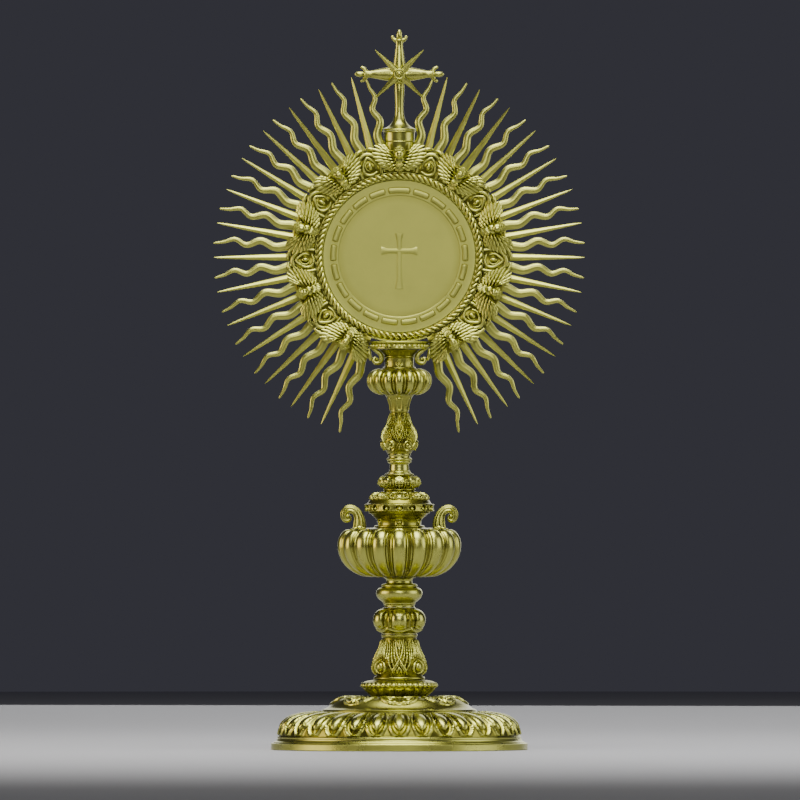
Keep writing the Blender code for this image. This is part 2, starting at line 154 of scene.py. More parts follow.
class Shape:
    """Closed grids of points, in millimetres, gathered into one mesh.

    Each point carries painted shade: 0 in recesses and on the backs of strips, for the full painted
    shade, and 1 on crests, for none.
    """

    def __init__(self):
        self.points = []
        self.painted_shades = []
        self.faces = []
        self.count = 0

    def grid(self, p, ring_rows=False, ring_columns=True, caps=True, painted_shade=1.0):
        """Adds a grid of rows x columns x 3. Rows may close on themselves; the ends may be capped."""
        p = np.asarray(p, float)
        rows, columns = p.shape[:2]
        index = np.arange(rows * columns).reshape(rows, columns)
        down = np.roll(index, -1, 0) if ring_rows else index[1:]
        here = index if ring_rows else index[:-1]
        if ring_columns:
            across, down_across = np.roll(here, -1, 1), np.roll(down, -1, 1)
            quads = np.stack([here, down, down_across, across], -1).reshape(-1, 4)
        else:
            quads = np.stack([here[:, :-1], down[:, :-1], down[:, 1:], here[:, 1:]], -1).reshape(-1, 4)
        flat = p.reshape(-1, 3)
        a, b, c, d = (flat[quads[:, k]] for k in range(4))
        volume = np.einsum("ij,ij->i", (a + b + c + d) / 4 - flat.mean(0), np.cross(c - a, d - b)).sum()
        if volume < 0:
            quads = quads[:, ::-1]
        faces = quads.tolist()
        if caps and not ring_rows:
            ends = [index[0].tolist(), index[-1][::-1].tolist()]
            faces += [end[::-1] if volume < 0 else end for end in ends]
        self.points.append(flat)
        self.painted_shades.append(np.broadcast_to(painted_shade, (rows, columns)).ravel())
        self.faces += [[k + self.count for k in face] for face in faces]
        self.count += len(flat)
        return self

    def add(self, other, matrix=None, mirrored=False):
        """Adds another shape's grids, moved by the matrix; a mirroring matrix needs mirrored."""
        matrix = np.array(matrix or Matrix.Identity(4))
        points = np.concatenate(other.points)
        self.points.append(points @ matrix[:3, :3].T + matrix[:3, 3])
        self.painted_shades += other.painted_shades
        for face in other.faces:
            self.faces.append([k + self.count for k in (face[::-1] if mirrored else face)])
        self.count += len(points)
        return self

    def mesh(self, name, crease=CREASE):
        made = bpy.data.meshes.new(name)
        made.from_pydata((np.concatenate(self.points) * MM).tolist(), [], self.faces)
        # The painted shade goes onto the mesh as a point attribute for the metal to read.
        painted_shade = made.attributes.new("painted_shade", "FLOAT", "POINT")
        painted_shade.data.foreach_set("value", np.concatenate(self.painted_shades))
        made.validate()
        made.polygons.foreach_set("use_smooth", [True] * len(made.polygons))
        made.set_sharp_from_angle(angle=math.radians(crease))
        return made


def place(name, mesh, finish, replaces=(), body="stand", slot="gilt_brass", where=None):
    """Puts a mesh into the scene as a piece that rides on a body and stands for CAD nodes."""
    obj = bpy.data.objects.new(name, mesh)
    bpy.context.scene.collection.objects.link(obj)
    obj.matrix_world = where or Matrix.Identity(4)
    if not mesh.materials:
        mesh.materials.append(finish)
    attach(obj, body)
    if replaces:
        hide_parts(*replaces)
    return obj


def piece(node, shape, finish, crease=CREASE, **options):
    """Places a shape as the finished piece that stands for the CAD node of that name."""
    kind = "gilt"
    if finish is BRIGHT_STEEL:
        kind = options["slot"] = "steel"
    return place(f"{node}_{kind}", shape.mesh(node, crease), finish, [node], **options)


class Turn:
    """What a relief function is told about a turned surface: arrays of rows x columns."""

    def __init__(self, rows, columns):
        steps = np.linalg.norm(np.diff(rows, axis=0), axis=1)
        self.s = np.concatenate([[0], np.cumsum(steps)])[:, None]
        self.length = float(self.s[-1, 0])
        self.angle = (np.arange(columns) / columns * TAU)[None, :]
        self.r = rows[:, :1]
        self.z = rows[:, 1:]
        tangent = np.gradient(rows, axis=0)
        tangent /= np.linalg.norm(tangent, axis=1)[:, None] + 1e-12
        self.normal = np.stack([-tangent[:, 1], tangent[:, 0]], 1)

    def arc(self, count, phase=0.0):
        """Distance along the surface from the nearest of count lines, in millimetres."""
        return self.r * repeat(self.angle, count, phase)

    def share(self, count, phase=0.0):
        """The same as a share of half the pitch, from -1 to 1."""
        return repeat(self.angle, count, phase) / (math.pi / count) + 0 * self.r

    def ends(self, soft):
        """Fades a relief out at the two ends, where the neighbouring pieces begin."""
        return smooth(0, soft, self.s) * (1 - smooth(self.length - soft, self.length, self.s))


def revolve(runs, columns, relief, step, bore, soft):
    """Radius, axial place and painted shade of a turned solid, as rows x columns, and the columns'
    angles.
    """
    rows = outline(runs, step)
    turn = Turn(rows, columns)
    height = relief(turn) * turn.ends(soft) if relief else np.zeros((len(rows), columns))
    r = rows[:, :1] + turn.normal[:, :1] * height
    axial = rows[:, 1:] + turn.normal[:, 1:] * height
    # Painted shade: the lower the relief, the darker; the bore's faces take the full painted shade.
    painted_shade = smooth(-0.7, 0.8, height) if relief else np.ones(height.shape)
    if bore is not None:
        ends = [np.full((1, columns), row[1]) for row in (rows[-1], rows[0])]
        r = np.concatenate([r, np.full((2, columns), float(bore))])
        axial = np.concatenate([axial, *ends])
        painted_shade = np.concatenate([painted_shade, np.zeros((2, columns))])
    return r, axial, painted_shade, turn.angle


def turned(shape, runs, columns, relief=None, step=0.5, bore=STEM_BORE, rise=0.0, centre=(0, 0)):
    """Adds an upright turned solid of (radius, height) runs, from the top down; a bore closes it."""
    r, z, painted_shade, angle = revolve(runs, columns, relief, step, bore, 0.8)
    p = np.stack([r * np.sin(angle) + centre[0], -r * np.cos(angle) + centre[1], z + rise], -1)
    return shape.grid(p, ring_rows=bore is not None, painted_shade=painted_shade)


def lathe(shape, runs, columns, relief=None, step=0.5, bore=None):
    """Adds a solid turned about the case's axis, of (radius, forward) runs from front to back."""
    r, forward, _, angle = revolve(runs, columns, relief, step, bore, 0.3)
    p = np.stack([r * np.sin(angle), -forward, r * np.cos(angle)], -1)
    return shape.grid(p, ring_rows=bore is not None)


def stem_piece(name, runs, columns, relief=None, beads=None, finish=None, **options):
    """A turned piece of the stem that stands for the CAD node of the same name, on that node's foot."""
    lowest = min(z for run in runs for _, z in run)
    rise = span(name)[0].z - lowest
    shape = Shape()
    turned(shape, runs, columns, relief, rise=rise, **options)
    if beads:
        bead_row(shape, *beads)
    return piece(name, shape, finish or RELIEF)


def round_section(columns):
    """A round section for a strip, as (across, forward) pairs."""
    a = np.arange(columns) / columns * TAU
    return np.stack([np.cos(a), np.sin(a)], 1)


def even_section(*half):
    """The same on both sides: half runs from the crest down the right-hand side."""
    right = np.array(half)
    return np.concatenate([right[:0:-1] * (-1, 1), right])


RIDGED = even_section(
    (0, 1), (0.08, 0.93), (0.32, 0.74), (0.6, 0.52), (0.86, 0.26), (1, 0), (0.86, -0.3)
)
ROUNDED = even_section((0, 1), (0.38, 0.9), (0.72, 0.72), (0.93, 0.42), (1, 0), (0.8, -0.3))
PAD = even_section((0, 1), (0.5, 0.95), (0.86, 0.72), (1, 0.35), (1, -0.4))
BARBED = even_section((0, 1), (0.3, 0.85), (0.7, 0.5), (1, 0), (1, -0.6))
SHADE_STRIP = even_section((0, 0.1), (1, 0.1), (1, -0.4))  # a flat strip with a low crest, which takes nearly the full painted shade: the painted shadow of a moat
SQUARE = np.array([(-1, -1), (-1, 1), (1, 1), (1, -1)])


def strip(shape, path, widths, depths, section, forward=0.0):
    """Sweeps a section along a path in the upright plane. Path points are (across, up)."""
    p = np.asarray(path, float)
    tangent = np.gradient(p, axis=0)
    tangent /= np.linalg.norm(tangent, axis=1)[:, None] + 1e-12
    side = np.stack([tangent[:, 1], -tangent[:, 0]], 1)
    w = np.broadcast_to(widths, len(p))[:, None] * section[None, :, 0]
    d = np.broadcast_to(depths, len(p))[:, None] * section[None, :, 1]
    y = -(np.broadcast_to(forward, len(p))[:, None] + d)
    x = p[:, :1] + side[:, :1] * w
    z = p[:, 1:] + side[:, 1:] * w
    # Painted shade down the sides and back of the section, none at its crest.
    return shape.grid(np.stack([x, y, z], -1), painted_shade=smooth(-0.1, 0.75, section[:, 1])[None, :])


def ball(shape, centre, radii, rows=10, columns=16, relief=None):
    """An ellipsoid. Centre and radii are (across, forward, up)."""
    a = np.linspace(0.12, math.pi - 0.12, rows)[:, None]
    b = (np.arange(columns) / columns * TAU)[None, :]
    x, y, z = np.sin(a) * np.sin(b), np.sin(a) * np.cos(b), np.cos(a) + 0 * b
    k = 1 + (relief(x, y, z) if relief else 0)
    x, y, z = (c + r * k * unit for c, r, unit in zip(centre, radii, (x, y, z)))
    return shape.grid(np.stack([x, -y, z], -1))


def bead_row(shape, count, radius, height, size, rows=10, columns=16):
    """A ring of beads round the stem."""
    for k in range(count):
        a = k * TAU / count
        ball(shape, (radius * math.sin(a), radius * math.cos(a), height), size, rows, columns)


# ------------------------------------------------------------------ materials


def node(tree, kind, **values):
    """Adds a shader node, and sets its inputs or properties by name."""
    made = tree.nodes.new(kind)
    for key, value in values.items():
        if key in made.inputs:
            made.inputs[key].default_value = value
        else:
            setattr(made, key, value)
    return made


def ramp(tree, source, stops):
    """Adds a colour ramp of (place, colour) stops after an output."""
    made = node(tree, "ShaderNodeValToRGB")
    while len(made.color_ramp.elements) < len(stops):
        made.color_ramp.elements.new(0.5)
    for element, (place_at, colour) in zip(made.color_ramp.elements, stops):
        element.position = place_at
        element.color = (*colour, 1) if len(colour) == 3 else colour
    tree.links.new(source, made.inputs["Fac"])
    return made.outputs["Color"]


def metal(name, bright, dark, rough, grain, chased=False):
    """Aged metal: patchy colour, painted shade in the hollows, rubbed edges, and a fine hammered or
    brushed grain.
    """
    made = bpy.data.materials.new(name)
    made.use_nodes = True
    tree = made.node_tree
    shader = tree.nodes["Principled BSDF"]
    shader.inputs["Metallic"].default_value = 1.0
    link = tree.links.new
    where = node(tree, "ShaderNodeTexCoord").outputs["Object"]
    patches = node(tree, "ShaderNodeTexNoise", Scale=38.0, Detail=4.0, Roughness=0.6)
    fine = node(tree, "ShaderNodeTexNoise", Scale=grain, Detail=3.0, Roughness=0.65)
    link(where, patches.inputs["Vector"])
    link(where, fine.inputs["Vector"])
    mottled = tuple(0.86 * c for c in bright)
    colour = ramp(tree, patches.outputs["Fac"], [(0.32, mottled), (0.68, bright)])
    # Pointiness paints shade: recesses are mixed towards the shade colour as painted shade, flat faces
    # a little, and rubbed convex edges keep the full colour.
    edges = node(tree, "ShaderNodeNewGeometry").outputs["Pointiness"]
    shade_and_wear = ramp(tree, edges, [(0.42, (0, 0, 0)), (0.5, (0.78, 0.78, 0.78)), (0.56, (1, 1, 1))])
    # Pieces that store a painted-shade attribute get their recesses, valleys and the backs of strips
    # painted darker still by it.
    if chased:
        hollows = node(tree, "ShaderNodeAttribute", attribute_name="painted_shade")
        darker = node(tree, "ShaderNodeMix", data_type="RGBA", blend_type="MULTIPLY")
        darker.inputs["Factor"].default_value = 0.85
        link(shade_and_wear, darker.inputs["A"])
        link(hollows.outputs["Fac"], darker.inputs["B"])
        shade_and_wear = darker.outputs["Result"]
    mix = node(tree, "ShaderNodeMix", data_type="RGBA")
    mix.inputs["A"].default_value = (*dark, 1)
    link(colour, mix.inputs["B"])
    link(shade_and_wear, mix.inputs["Factor"])
    link(mix.outputs["Result"], shader.inputs["Base Color"])
    limits = {"From Min": 0.3, "From Max": 0.7, "To Min": rough - 0.05, "To Max": rough + 0.07}
    roughness = node(tree, "ShaderNodeMapRange", **limits)
    link(patches.outputs["Fac"], roughness.inputs["Value"])
    link(roughness.outputs["Result"], shader.inputs["Roughness"])
    bump = node(tree, "ShaderNodeBump", Strength=0.25, Distance=0.00012)
    link(fine.outputs["Fac"], bump.inputs["Height"])
    link(bump.outputs["Normal"], shader.inputs["Normal"])
    return made


GOLD = (0.60, 0.605, 0.135)
# The colour that painted shade in recesses is mixed towards.
GOLD_SHADE = (0.16, 0.145, 0.008)
POLISHED = metal("gilt_polished", GOLD, GOLD_SHADE, 0.28, 900.0)
RAY_GILT = metal("gilt_rays", GOLD, GOLD_SHADE, 0.34, 900.0)
RELIEF = metal("gilt_chased", GOLD, GOLD_SHADE, 0.28, 1100.0, chased=True)
SATIN = metal("gilt_satin", (0.54, 0.545, 0.13), GOLD_SHADE, 0.48, 1600.0, chased=True)
BRIGHT_STEEL = metal("bright_steel", (0.56, 0.56, 0.57), (0.2, 0.2, 0.2), 0.32, 900.0)


# ------------------------------------------------------------------ foot


stem_piece("foot_rim", [
    [(98, 11), (101.2, 11)], [(101.5, 10.6), (101.4, 9.4)], [(101.9, 9.2), (102, 8.6)],
    [(102.7, 7.2), (104.8, 6.3)], [(105.2, 5.5), (106.3, 5.5)], [(107, 5.2), (107, 4.6)],
    [(107, 0.5)], [(106.6, 0)], [(91, 0)],
], 208, bore=91, finish=POLISHED)


GADROONS = 32
EGG_HALF = 4.9
HUSK_HALF = 7.9


def pear(share, widest):
    """Half width of a pear shape, from a narrow start at share 0 to a round end at share 1."""
    neck = 0.12 + 0.88 * smooth(0, 1, share / widest)
    return np.where(share < widest, neck, dome((share - widest) / (1 - widest))) + 0.002


def gadroon_relief(t):
    """Eggs that widen outwards, each in a raised husk with a round, scooped end, on a smooth ovolo."""
    u = np.abs(t.arc(GADROONS))
    egg_share = np.clip((t.s + 2) / 41.5, 0, 1)
    husk_share = np.clip((t.s + 6) / 51.0, 0, 1)
    egg_half = EGG_HALF * pear(egg_share, 0.74)
    husk_half = HUSK_HALF * pear(husk_share, 0.76)
    slope = np.gradient(husk_half[:, 0], t.s[:, 0])[:, None]
    off = (u - husk_half) / np.sqrt(1 + slope**2)
    rise = smooth(1, 9, t.s)
    egg = dome(np.clip(u / egg_half, 0, 1)) * (egg_half / EGG_HALF) ** 0.6
    lip = ridge(off, 1.15) * (husk_share < 1)
    hollow = (1 - smooth(-1.5, 0.0, off)) * (egg < 0.02)
    return rise * (2.5 * egg + 1.5 * lip - 0.8 * hollow - 0.3)


stem_piece("foot_gadroon_shell", [
    [(64.5, 31.2), (70, 30.9), (78, 29.9), (86, 28), (92.5, 25.2), (97.4, 21.2), (100, 16.6),
     (100.8, 13.2), (101, 11.3)],
], GADROONS * 22, gadroon_relief, step=0.7, bore=64.5)


PANELS = 8
PANEL_LINES = (
    ([(0, -0.6), (7.5, -2), (13.2, -6), (15.8, -11.5), (13.8, -17), (8, -20.5), (0, -21.5)],
     1.35, 1.6),
    ([(2.6, -4.6), (7.8, -4.2), (11.6, -7.6), (10.8, -12.2), (7.2, -12.6), (6, -9.6), (8.2, -8)],
     1.15, 1.3),
    ([(0, -3.6), (0, -18)], 1.1, 1.3),
    ([(0.3, -15), (3.2, -11.5), (2.8, -6.2)], 0.95, 1.1),
    ([(3.6, -18), (7.6, -16.6), (11.8, -15.2)], 0.9, 0.9),
)


def panel_relief(t):
    """Scrolled oval panels over the dome's shoulder, above a smooth cove."""
    u = np.abs(t.arc(PANELS))
    drop = t.s - 45.6
    field = 1 - smooth(0.92, 1.0, np.hypot(u / 16.4, (drop + 11) / 10.6))
    return strokes(u, drop, PANEL_LINES) - 0.35 * field


stem_piece("foot_dome", [
    [(14, 43.2), (30, 43.3), (44, 43.3), (49.6, 43), (53, 41.6), (55.6, 39.3), (58, 36.8),
     (60.2, 34.9), (62.8, 33.7)], [(63.9, 33.5), (64.2, 32.9), (63.8, 32.4)],
    [(64.9, 32.2), (65, 31.5)], [(58, 31.5)],
], PANELS * 60, panel_relief, step=0.65, bore=14)


# ------------------------------------------------------------------ stem


def dish_relief(t):
    """A beaded rim, veined leaves under it and shallow flutes above."""
    beads = dome(np.clip(np.hypot(t.arc(40) / 2.1, (t.z - 53.6) / 1.9), 0, 1))
    below = smooth(52.4, 50.5, t.z)
    petal = np.abs(np.cos(10 * t.angle))
    veins = 0.5 + 0.5 * np.cos(4.2 * t.arc(20, math.pi / 40))
    above = smooth(54.8, 55.8, t.z) * smooth(19.5, 22.5, t.r)
    leaves = below * (0.9 * petal + 0.25 * veins)
    return 1.1 * beads + leaves + 0.35 * above * np.abs(np.cos(20 * t.angle))


stem_piece("leaf_dish", [
    [(14, 57.6), (22, 57.5), (27.5, 56.5), (30.6, 55), (31.3, 53.4), (29.8, 51.6)],
    [(27.5, 49.4), (24.2, 46.6), (21.6, 44.9), (20.6, 43.8)],
], 400, dish_relief, step=0.5)


BELL_LEAVES = (
    ([(0.3, 75.8), (1.4, 80), (2.0, 85), (3.0, 91.5)], 0.75, 1.2),
    ([(0, 79), (0, 85)], 0.5, 0.9),
    ([(0, 84.5), (0, 91.2)], 0.7, 1.2),
    ([(0.3, 84), (1.1, 87.5), (1.9, 91)], 0.6, 1.1),
    ([(1.6, 73.0), (2.7, 79), (3.2, 84), (4.2, 90)], 0.62, 1.35),
    ([(2.6, 69.5), (3.9, 76), (4.4, 82), (5.2, 88.5)], 0.62, 1.35),
    ([(3.4, 66.0), (4.9, 71.5), (5.6, 78), (6.2, 85.5), (7.0, 91)], 0.62, 1.35),
    ([(5.6, 73.5), (7.0, 78.5), (7.6, 84.5), (8.6, 89)], 0.62, 1.2),
    ([(7.2, 75.5), (8.8, 80), (9.4, 86), (10, 91)], 0.62, 1.2),
    ([(9.0, 77), (10, 81), (10, 85)], 0.55, 1.1),
    ([(10, 75.0), (8.0, 72.5), (6.9, 68.5), (7.6, 64.8), (10, 63.6)], 0.75, 1.5),
    ([(10, 71.5), (9.9, 69), (10, 66.4)], 1.9, 2.0),
    ([(0.3, 75.0), (1.4, 71), (2.9, 66.5), (3.9, 62.6)], 0.62, 1.1),
    ([(0, 72.6), (1.2, 69), (2.2, 66), (2.9, 62.6)], 0.5, 1.0),
    ([(0, 68.8), (0.8, 66), (1.1, 62.8)], 0.75, 0.8),
)


def bell_relief(t):
    """Four sprays of leaves up the bell, over nested chevrons, with a drop where two sprays meet."""
    u = 10 * np.abs(t.share(4))
    return 1.5 * strokes(u, t.z, BELL_LEAVES, 8) - 0.6 * pulse(62.2, 93.5, t.z, 0.4)


stem_piece("lower_baluster", [
    [(13.6, 96), (15, 96), (15.3, 95.2), (15, 94.4)],
    [(15, 91), (15.9, 87), (18, 81.5), (21, 75.5), (22.6, 70), (22.4, 65.5), (20.8, 62.6)],
    [(19.4, 61.6), (19.2, 61)], [(20.9, 60.5), (21.4, 59.4), (20.9, 58.3), (20, 57.9)],
], 336, bell_relief, step=0.4)


def lobe_relief(t):
    """Six full lobes with a pair of thin staves between them, over a cup of six petals."""
    a = t.share(6)
    band = dome(np.clip((t.z - 108.6) / 8.4, -1, 1))
    lobe = dome(np.clip(np.abs(a) / 0.60, 0, 1))
    stave = ridge(np.abs(a) - 0.82, 0.09)
    body = band * (3.4 * lobe + 1.0 * stave - 1.2)
    petal = ridge(t.z - 98.6 - 2.6 * a * a, 0.75)
    inner = ridge(t.z - 101.2 - 2.6 * a * a, 0.5)
    return np.where(t.z > 100.8, body, 0) + (1.3 * petal + 0.6 * inner) * pulse(96.8, 103, t.z, 0.3)


stem_piece("lobed_knop", [
    [(12.6, 118.2), (13.6, 118.2), (13.9, 117.7), (13.4, 117.1)], [(15.2, 116.6), (18.6, 114.8),
     (21, 111.4), (21.7, 107.4), (20.9, 103.6), (19, 101), (16.2, 98.6), (14.6, 97.4)],
    [(14.9, 96.9), (14.6, 96.3)],
], 240, lobe_relief, step=0.45)


stem_piece("ring_knop", [
    [(12.5, 143.6), (13.6, 143.4), (11.8, 142.6), (10.8, 140.8), (10.9, 138.8)], [(12, 138.2)],
    [(14.4, 137.6), (15.2, 136.6), (14.8, 135.6)], [(14.6, 135)], [(17, 134.4), (18.8, 132.6),
     (19.3, 130.2), (18.8, 127.8), (17.2, 125.4), (15, 123.6), (13.9, 122.6)],
    [(13.5, 122.2), (13.4, 121.4)], [(12.7, 120.4), (12.6, 119.4), (13, 118.5)],
], 144, step=0.32, finish=POLISHED)


LOBES = 18


def urn_relief(t):
    """Broad lobes with arched tops, each in a rounded bead, and a thin rib between."""
    u = np.abs(t.arc(LOBES))
    pitch = TAU * t.r / LOBES
    half = 0.335 * pitch
    arch_top, arch_height = 25.6, 6.0
    arch = np.clip(arch_height - (t.s - arch_top), 0, None)
    across = np.hypot(u, arch * half / arch_height)
    lobe = dome(np.clip(across / half, 0, 1))
    bead = ridge(across - half - 0.95, 0.62)
    on = smooth(22.4, 23.8, t.s) * (1 - smooth(t.length - 5, t.length - 1, t.s))
    rib = ridge(u - pitch / 2, 0.34) * smooth(28, 34, t.s)
    depth = 0.45 + 0.55 * smooth(14, 32, t.r)
    return on * (depth * 2.7 * lobe + 1.35 * bead + 0.5 * rib - 0.75 * smooth(23, 27, t.s))


stem_piece("urn_bowl", [
    [(16, 185), (21.5, 185), (22, 184.6)], [(30, 184.5), (39, 183.6), (45.2, 180.9),
     (49, 176.2), (50.2, 170), (49, 163), (45.6, 156.4), (40, 150.9), (33, 147.2), (25, 145.3),
     (15.5, 144.4)], [(13.6, 144.2), (13.4, 143.9)],
], LOBES * 24, urn_relief, step=0.7)


def neck_relief(t):
    """Six small studs in square mounts."""
    u = t.arc(6)
    v = t.z - 189.2
    stud = dome(np.clip(np.hypot(u, v) / 1.35, 0, 1))
    side = np.maximum(np.abs(u), np.abs(v))
    return 1.1 * stud + 0.75 * ridge(side - 2.6, 0.45) * (t.z > 186.9)


stem_piece("urn_neck", [
    [(18.6, 198), (25.2, 198), (25.7, 197.4), (25.2, 196.8)], [(24.4, 196.6)], [(23.4, 195.9)],
    [(21, 193.6), (19, 191.6), (18.3, 189.6), (18.2, 186.8)], [(18.7, 186.8)],
    [(20.6, 186.5), (21.1, 186), (20.8, 185.5)],
], 216, neck_relief, step=0.4)


OPENINGS = 16


def band_relief(t):
    """Deep oval openings in a flat band."""
    u = t.arc(OPENINGS)
    v = t.z - 201.5
    oval = np.hypot(u / 3.1, v / 2.45)
    hole = 1 - smooth(0.8, 1.0, oval)
    return 0.3 * ridge(oval - 1.16, 0.12) * pulse(199.0, 203.9, t.z, 0.4) - 2.4 * hole


stem_piece("oval_band", [
    [(25.5, 204.5), (27.9, 204.5)], [(29, 204.3), (29.1, 203.8)],
    [(28.9, 203.2), (28.9, 199.5)], [(29.1, 198.9), (28.9, 198.5), (28.3, 198.3)],
    [(25.5, 198.3)],
], OPENINGS * 24, band_relief, bore=25, step=0.35, beads=(OPENINGS, 27.6, 200.7, (1.35, 1.35, 1.25)))


LID_LEAVES = (
    ([(0, 12.2), (0, 4.4)], 1.15, 2.1),
    ([(0.4, 12.2), (2.0, 9), (3.0, 5.2)], 1.05, 2.0),
    ([(1.0, 12.6), (4.2, 10.8), (5.6, 7.6)], 1.0, 1.9),
    ([(1.8, 13.2), (5.2, 13.0), (8.4, 11.4), (9.2, 8.8), (7.6, 7.8)], 0.95, 1.7),
    ([(10, 13.6), (9.6, 12.6)], 1.0, 1.4),
    ([(2.6, 3.6), (5.6, 2.6), (8.4, 3.6), (10, 5.6)], 0.9, 1.2),
)


def lid_relief(t):
    """Eight leafy fans on the shoulder, with curls and pierced holes between them."""
    u = 10 * np.abs(t.share(8))
    hole = np.hypot((u - 8.4) / 1.3, (t.s - 10.4) / 1.2)
    leaves = 1.25 * strokes(u, t.s, LID_LEAVES, 8)
    return leaves - 1.4 * (1 - smooth(0.5, 1.1, hole)) - 0.4 * smooth(3, 6, t.s)


stem_piece("urn_lid", [
    [(12.6, 213.6), (13.8, 213.6)],
    [(16.5, 213.1), (20.4, 211.9), (23.8, 209.7), (25.8, 207.2), (26.9, 205.4), (27.4, 204.8)],
], 8 * 46, lid_relief, step=0.35)


def build_handles():
    """A channelled C-scroll each side, from a foot on the urn's shoulder to an eye below its crest."""
    path = [
        (33.2, 184.2), (33.0, 189.0), (33.7, 193.6), (35.6, 197.6), (38.8, 199.9), (42.4, 200.2),
        (45.2, 198.2), (46.1, 195.0), (45.1, 192.2), (43.1, 191.4), (41.6, 192.6), (41.9, 194.3),
    ]
    t = np.linspace(0, 1, 64)
    u = np.linspace(0, 1, 14)
    a = np.arange(64) / 64 * TAU
    channels = 1 - 0.2 * (0.5 + 0.5 * np.cos(8 * a)) ** 2
    section = round_section(64) * channels[:, None]
    half = 5.8 - 1.9 * smooth(0, 0.45, t) - 1.0 * smooth(0.5, 0.9, t) - 0.9 * smooth(0.85, 1, t)
    for name, side in (("handle_right", 1), ("handle_left", -1)):
        scroll = Shape()
        strip(scroll, along(path, t), half, half * 0.85, section)
        foot = along([(27.8, 184.4), (33.2, 185.3), (38.6, 184.2)], u)
        strip(scroll, foot, 2.1 * np.sin(0.25 + (math.pi - 0.5) * u), 4.6, round_section(20))
        ball(scroll, (42.9, 0, 194.6), (2.0, 3.6, 2.0))
        shape = Shape().add(scroll, Matrix.Diagonal((side, 1, 1, 1)), mirrored=side < 0)
        place(f"{name}_scroll", shape.mesh(name), RELIEF, [name])


build_handles()


def lid_knop_relief(t):
    """Eight clasping leaves over short hollow flutes."""
    u = t.arc(8)
    v = t.z - 222.4
    leaf = dome(np.clip(np.hypot(u / 4.6, (v - 1.6) / 3.4), 0, 1)) ** 0.7
    flutes = np.cos(t.angle * 40) * pulse(-4.6, 0.4, v, 0.5)
    cup = ridge(np.hypot(u, v - 0.4) - 3.6, 0.6)
    return 1.3 * leaf + 0.45 * flutes + 0.7 * cup * (v > -3.5)


stem_piece("lid_knop", [
    [(10.4, 229.6), (11.9, 229.6), (12.3, 229), (11.8, 228.4)], [(11.2, 227.6)],
    [(13.6, 226.4), (16, 224.6), (16.8, 222.4), (16, 220.2), (13.6, 218.4), (12.4, 217.7)],
    [(13.2, 217.2), (13.4, 216.5), (12.9, 215.9)], [(12.6, 215.3)],
    [(13.6, 214.9), (13.9, 214.4), (13.7, 213.9)],
], 256, lid_knop_relief, step=0.34)


stem_piece("neck_collar", [
    [(8.6, 245.2), (9.2, 245.2)], [(8.9, 244.2), (9, 243.2)],
    [(10.2, 242.7), (10.7, 241.8), (10.2, 240.9)], [(9.6, 240.4)], [(10, 239.6), (9.5, 238.8)],
    [(8.3, 238.2), (8.1, 235), (8.3, 232.4)], [(9.2, 231.6), (9.4, 230.8)],
    [(10.2, 230.4), (10.2, 229.9)],
], 128, step=0.3, finish=POLISHED)


PEAR_LEAVES = (
    ([(0.3, 256.2), (2.0, 259), (3.6, 262.5), (4.6, 266)], 0.7, 1.3),
    ([(2.0, 256.6), (4.4, 259.8), (6.2, 263.6), (6.6, 268.5)], 0.62, 1.2),
    ([(4.6, 258.8), (7.0, 261.2), (8.6, 265), (8.8, 270)], 0.62, 1.2),
    ([(7.6, 259.2), (10, 262), (10, 267)], 0.62, 1.1),
    ([(0, 258.6), (0, 264.5)], 0.6, 1.0),
    ([(0.2, 261), (2.2, 264.6), (3.4, 268.8)], 0.7, 1.2),
    ([(0.3, 265), (1.8, 268.4), (2.6, 272)], 0.6, 1.1),
    ([(0, 266), (0, 276.6)], 0.75, 1.25),
    ([(4.4, 271), (3.7, 275), (1.6, 278.6), (0, 280.2)], 0.72, 1.2),
    ([(6.8, 270.5), (6.4, 275), (7.2, 279)], 0.7, 1.1),
    ([(9.6, 271), (9.4, 276), (10, 280)], 0.7, 1.1),
    ([(0, 255.6), (2.2, 252.8), (3.6, 249.8)], 0.6, 1.0),
    ([(0, 253.2), (0, 249.5)], 0.8, 1.0),
)


def pear_relief(t):
    """Six sprays of leaves over volutes, pointed arches up the neck, and long sunk panels above."""
    b = t.share(6)
    u = 10 * np.abs(b)
    du, dv = t.arc(6, math.pi / 6), t.z - 253.6
    distance = np.hypot(du, dv) + 1e-6
    volute = 0.5 + 0.5 * np.cos(TAU * distance / 2.5 - np.arctan2(dv, du))
    leaves = np.where(distance < 4.3, 0.25 + 1.1 * volute, strokes(u, t.z, PEAR_LEAVES, 8))
    low = 1.2 * (leaves - 0.4) * pulse(247.6, 281.2, t.z, 0.3)
    panel = np.hypot(np.clip(u / 2 - 1.0, 0, None), np.clip(np.abs(t.z - 287.8) - 3.7, 0, None))
    return low + 0.6 * ridge(panel - 1.2, 0.42) * (t.z > 281.5) * (t.z < 294.3)


stem_piece("upper_baluster", [
    [(10.6, 295.2), (12, 295.2)], [(10.4, 292.8), (9.1, 289.4), (8.1, 284.4), (7.9, 280),
     (8.8, 275.2), (11.2, 270), (13.9, 264), (14.9, 258), (14.2, 252.4), (11.9, 248.6),
     (9.9, 246.9)], [(9.6, 246.5), (9.8, 245.5)],
], 312, pear_relief, step=0.38)


RIBS = 16


def rib_relief(t):
    """Broad ribs with a thin one in every gap."""
    a = t.share(RIBS)
    band = smooth(0.6, 3.0, t.s) * (1 - smooth(t.length - 4.0, t.length - 1.2, t.s))
    broad = dome(np.clip(np.abs(a) / 0.64, 0, 1))
    thin = dome(np.clip((1 - np.abs(a)) / 0.2, 0, 1))
    return band * (2.1 * broad + 0.8 * thin - 0.9)


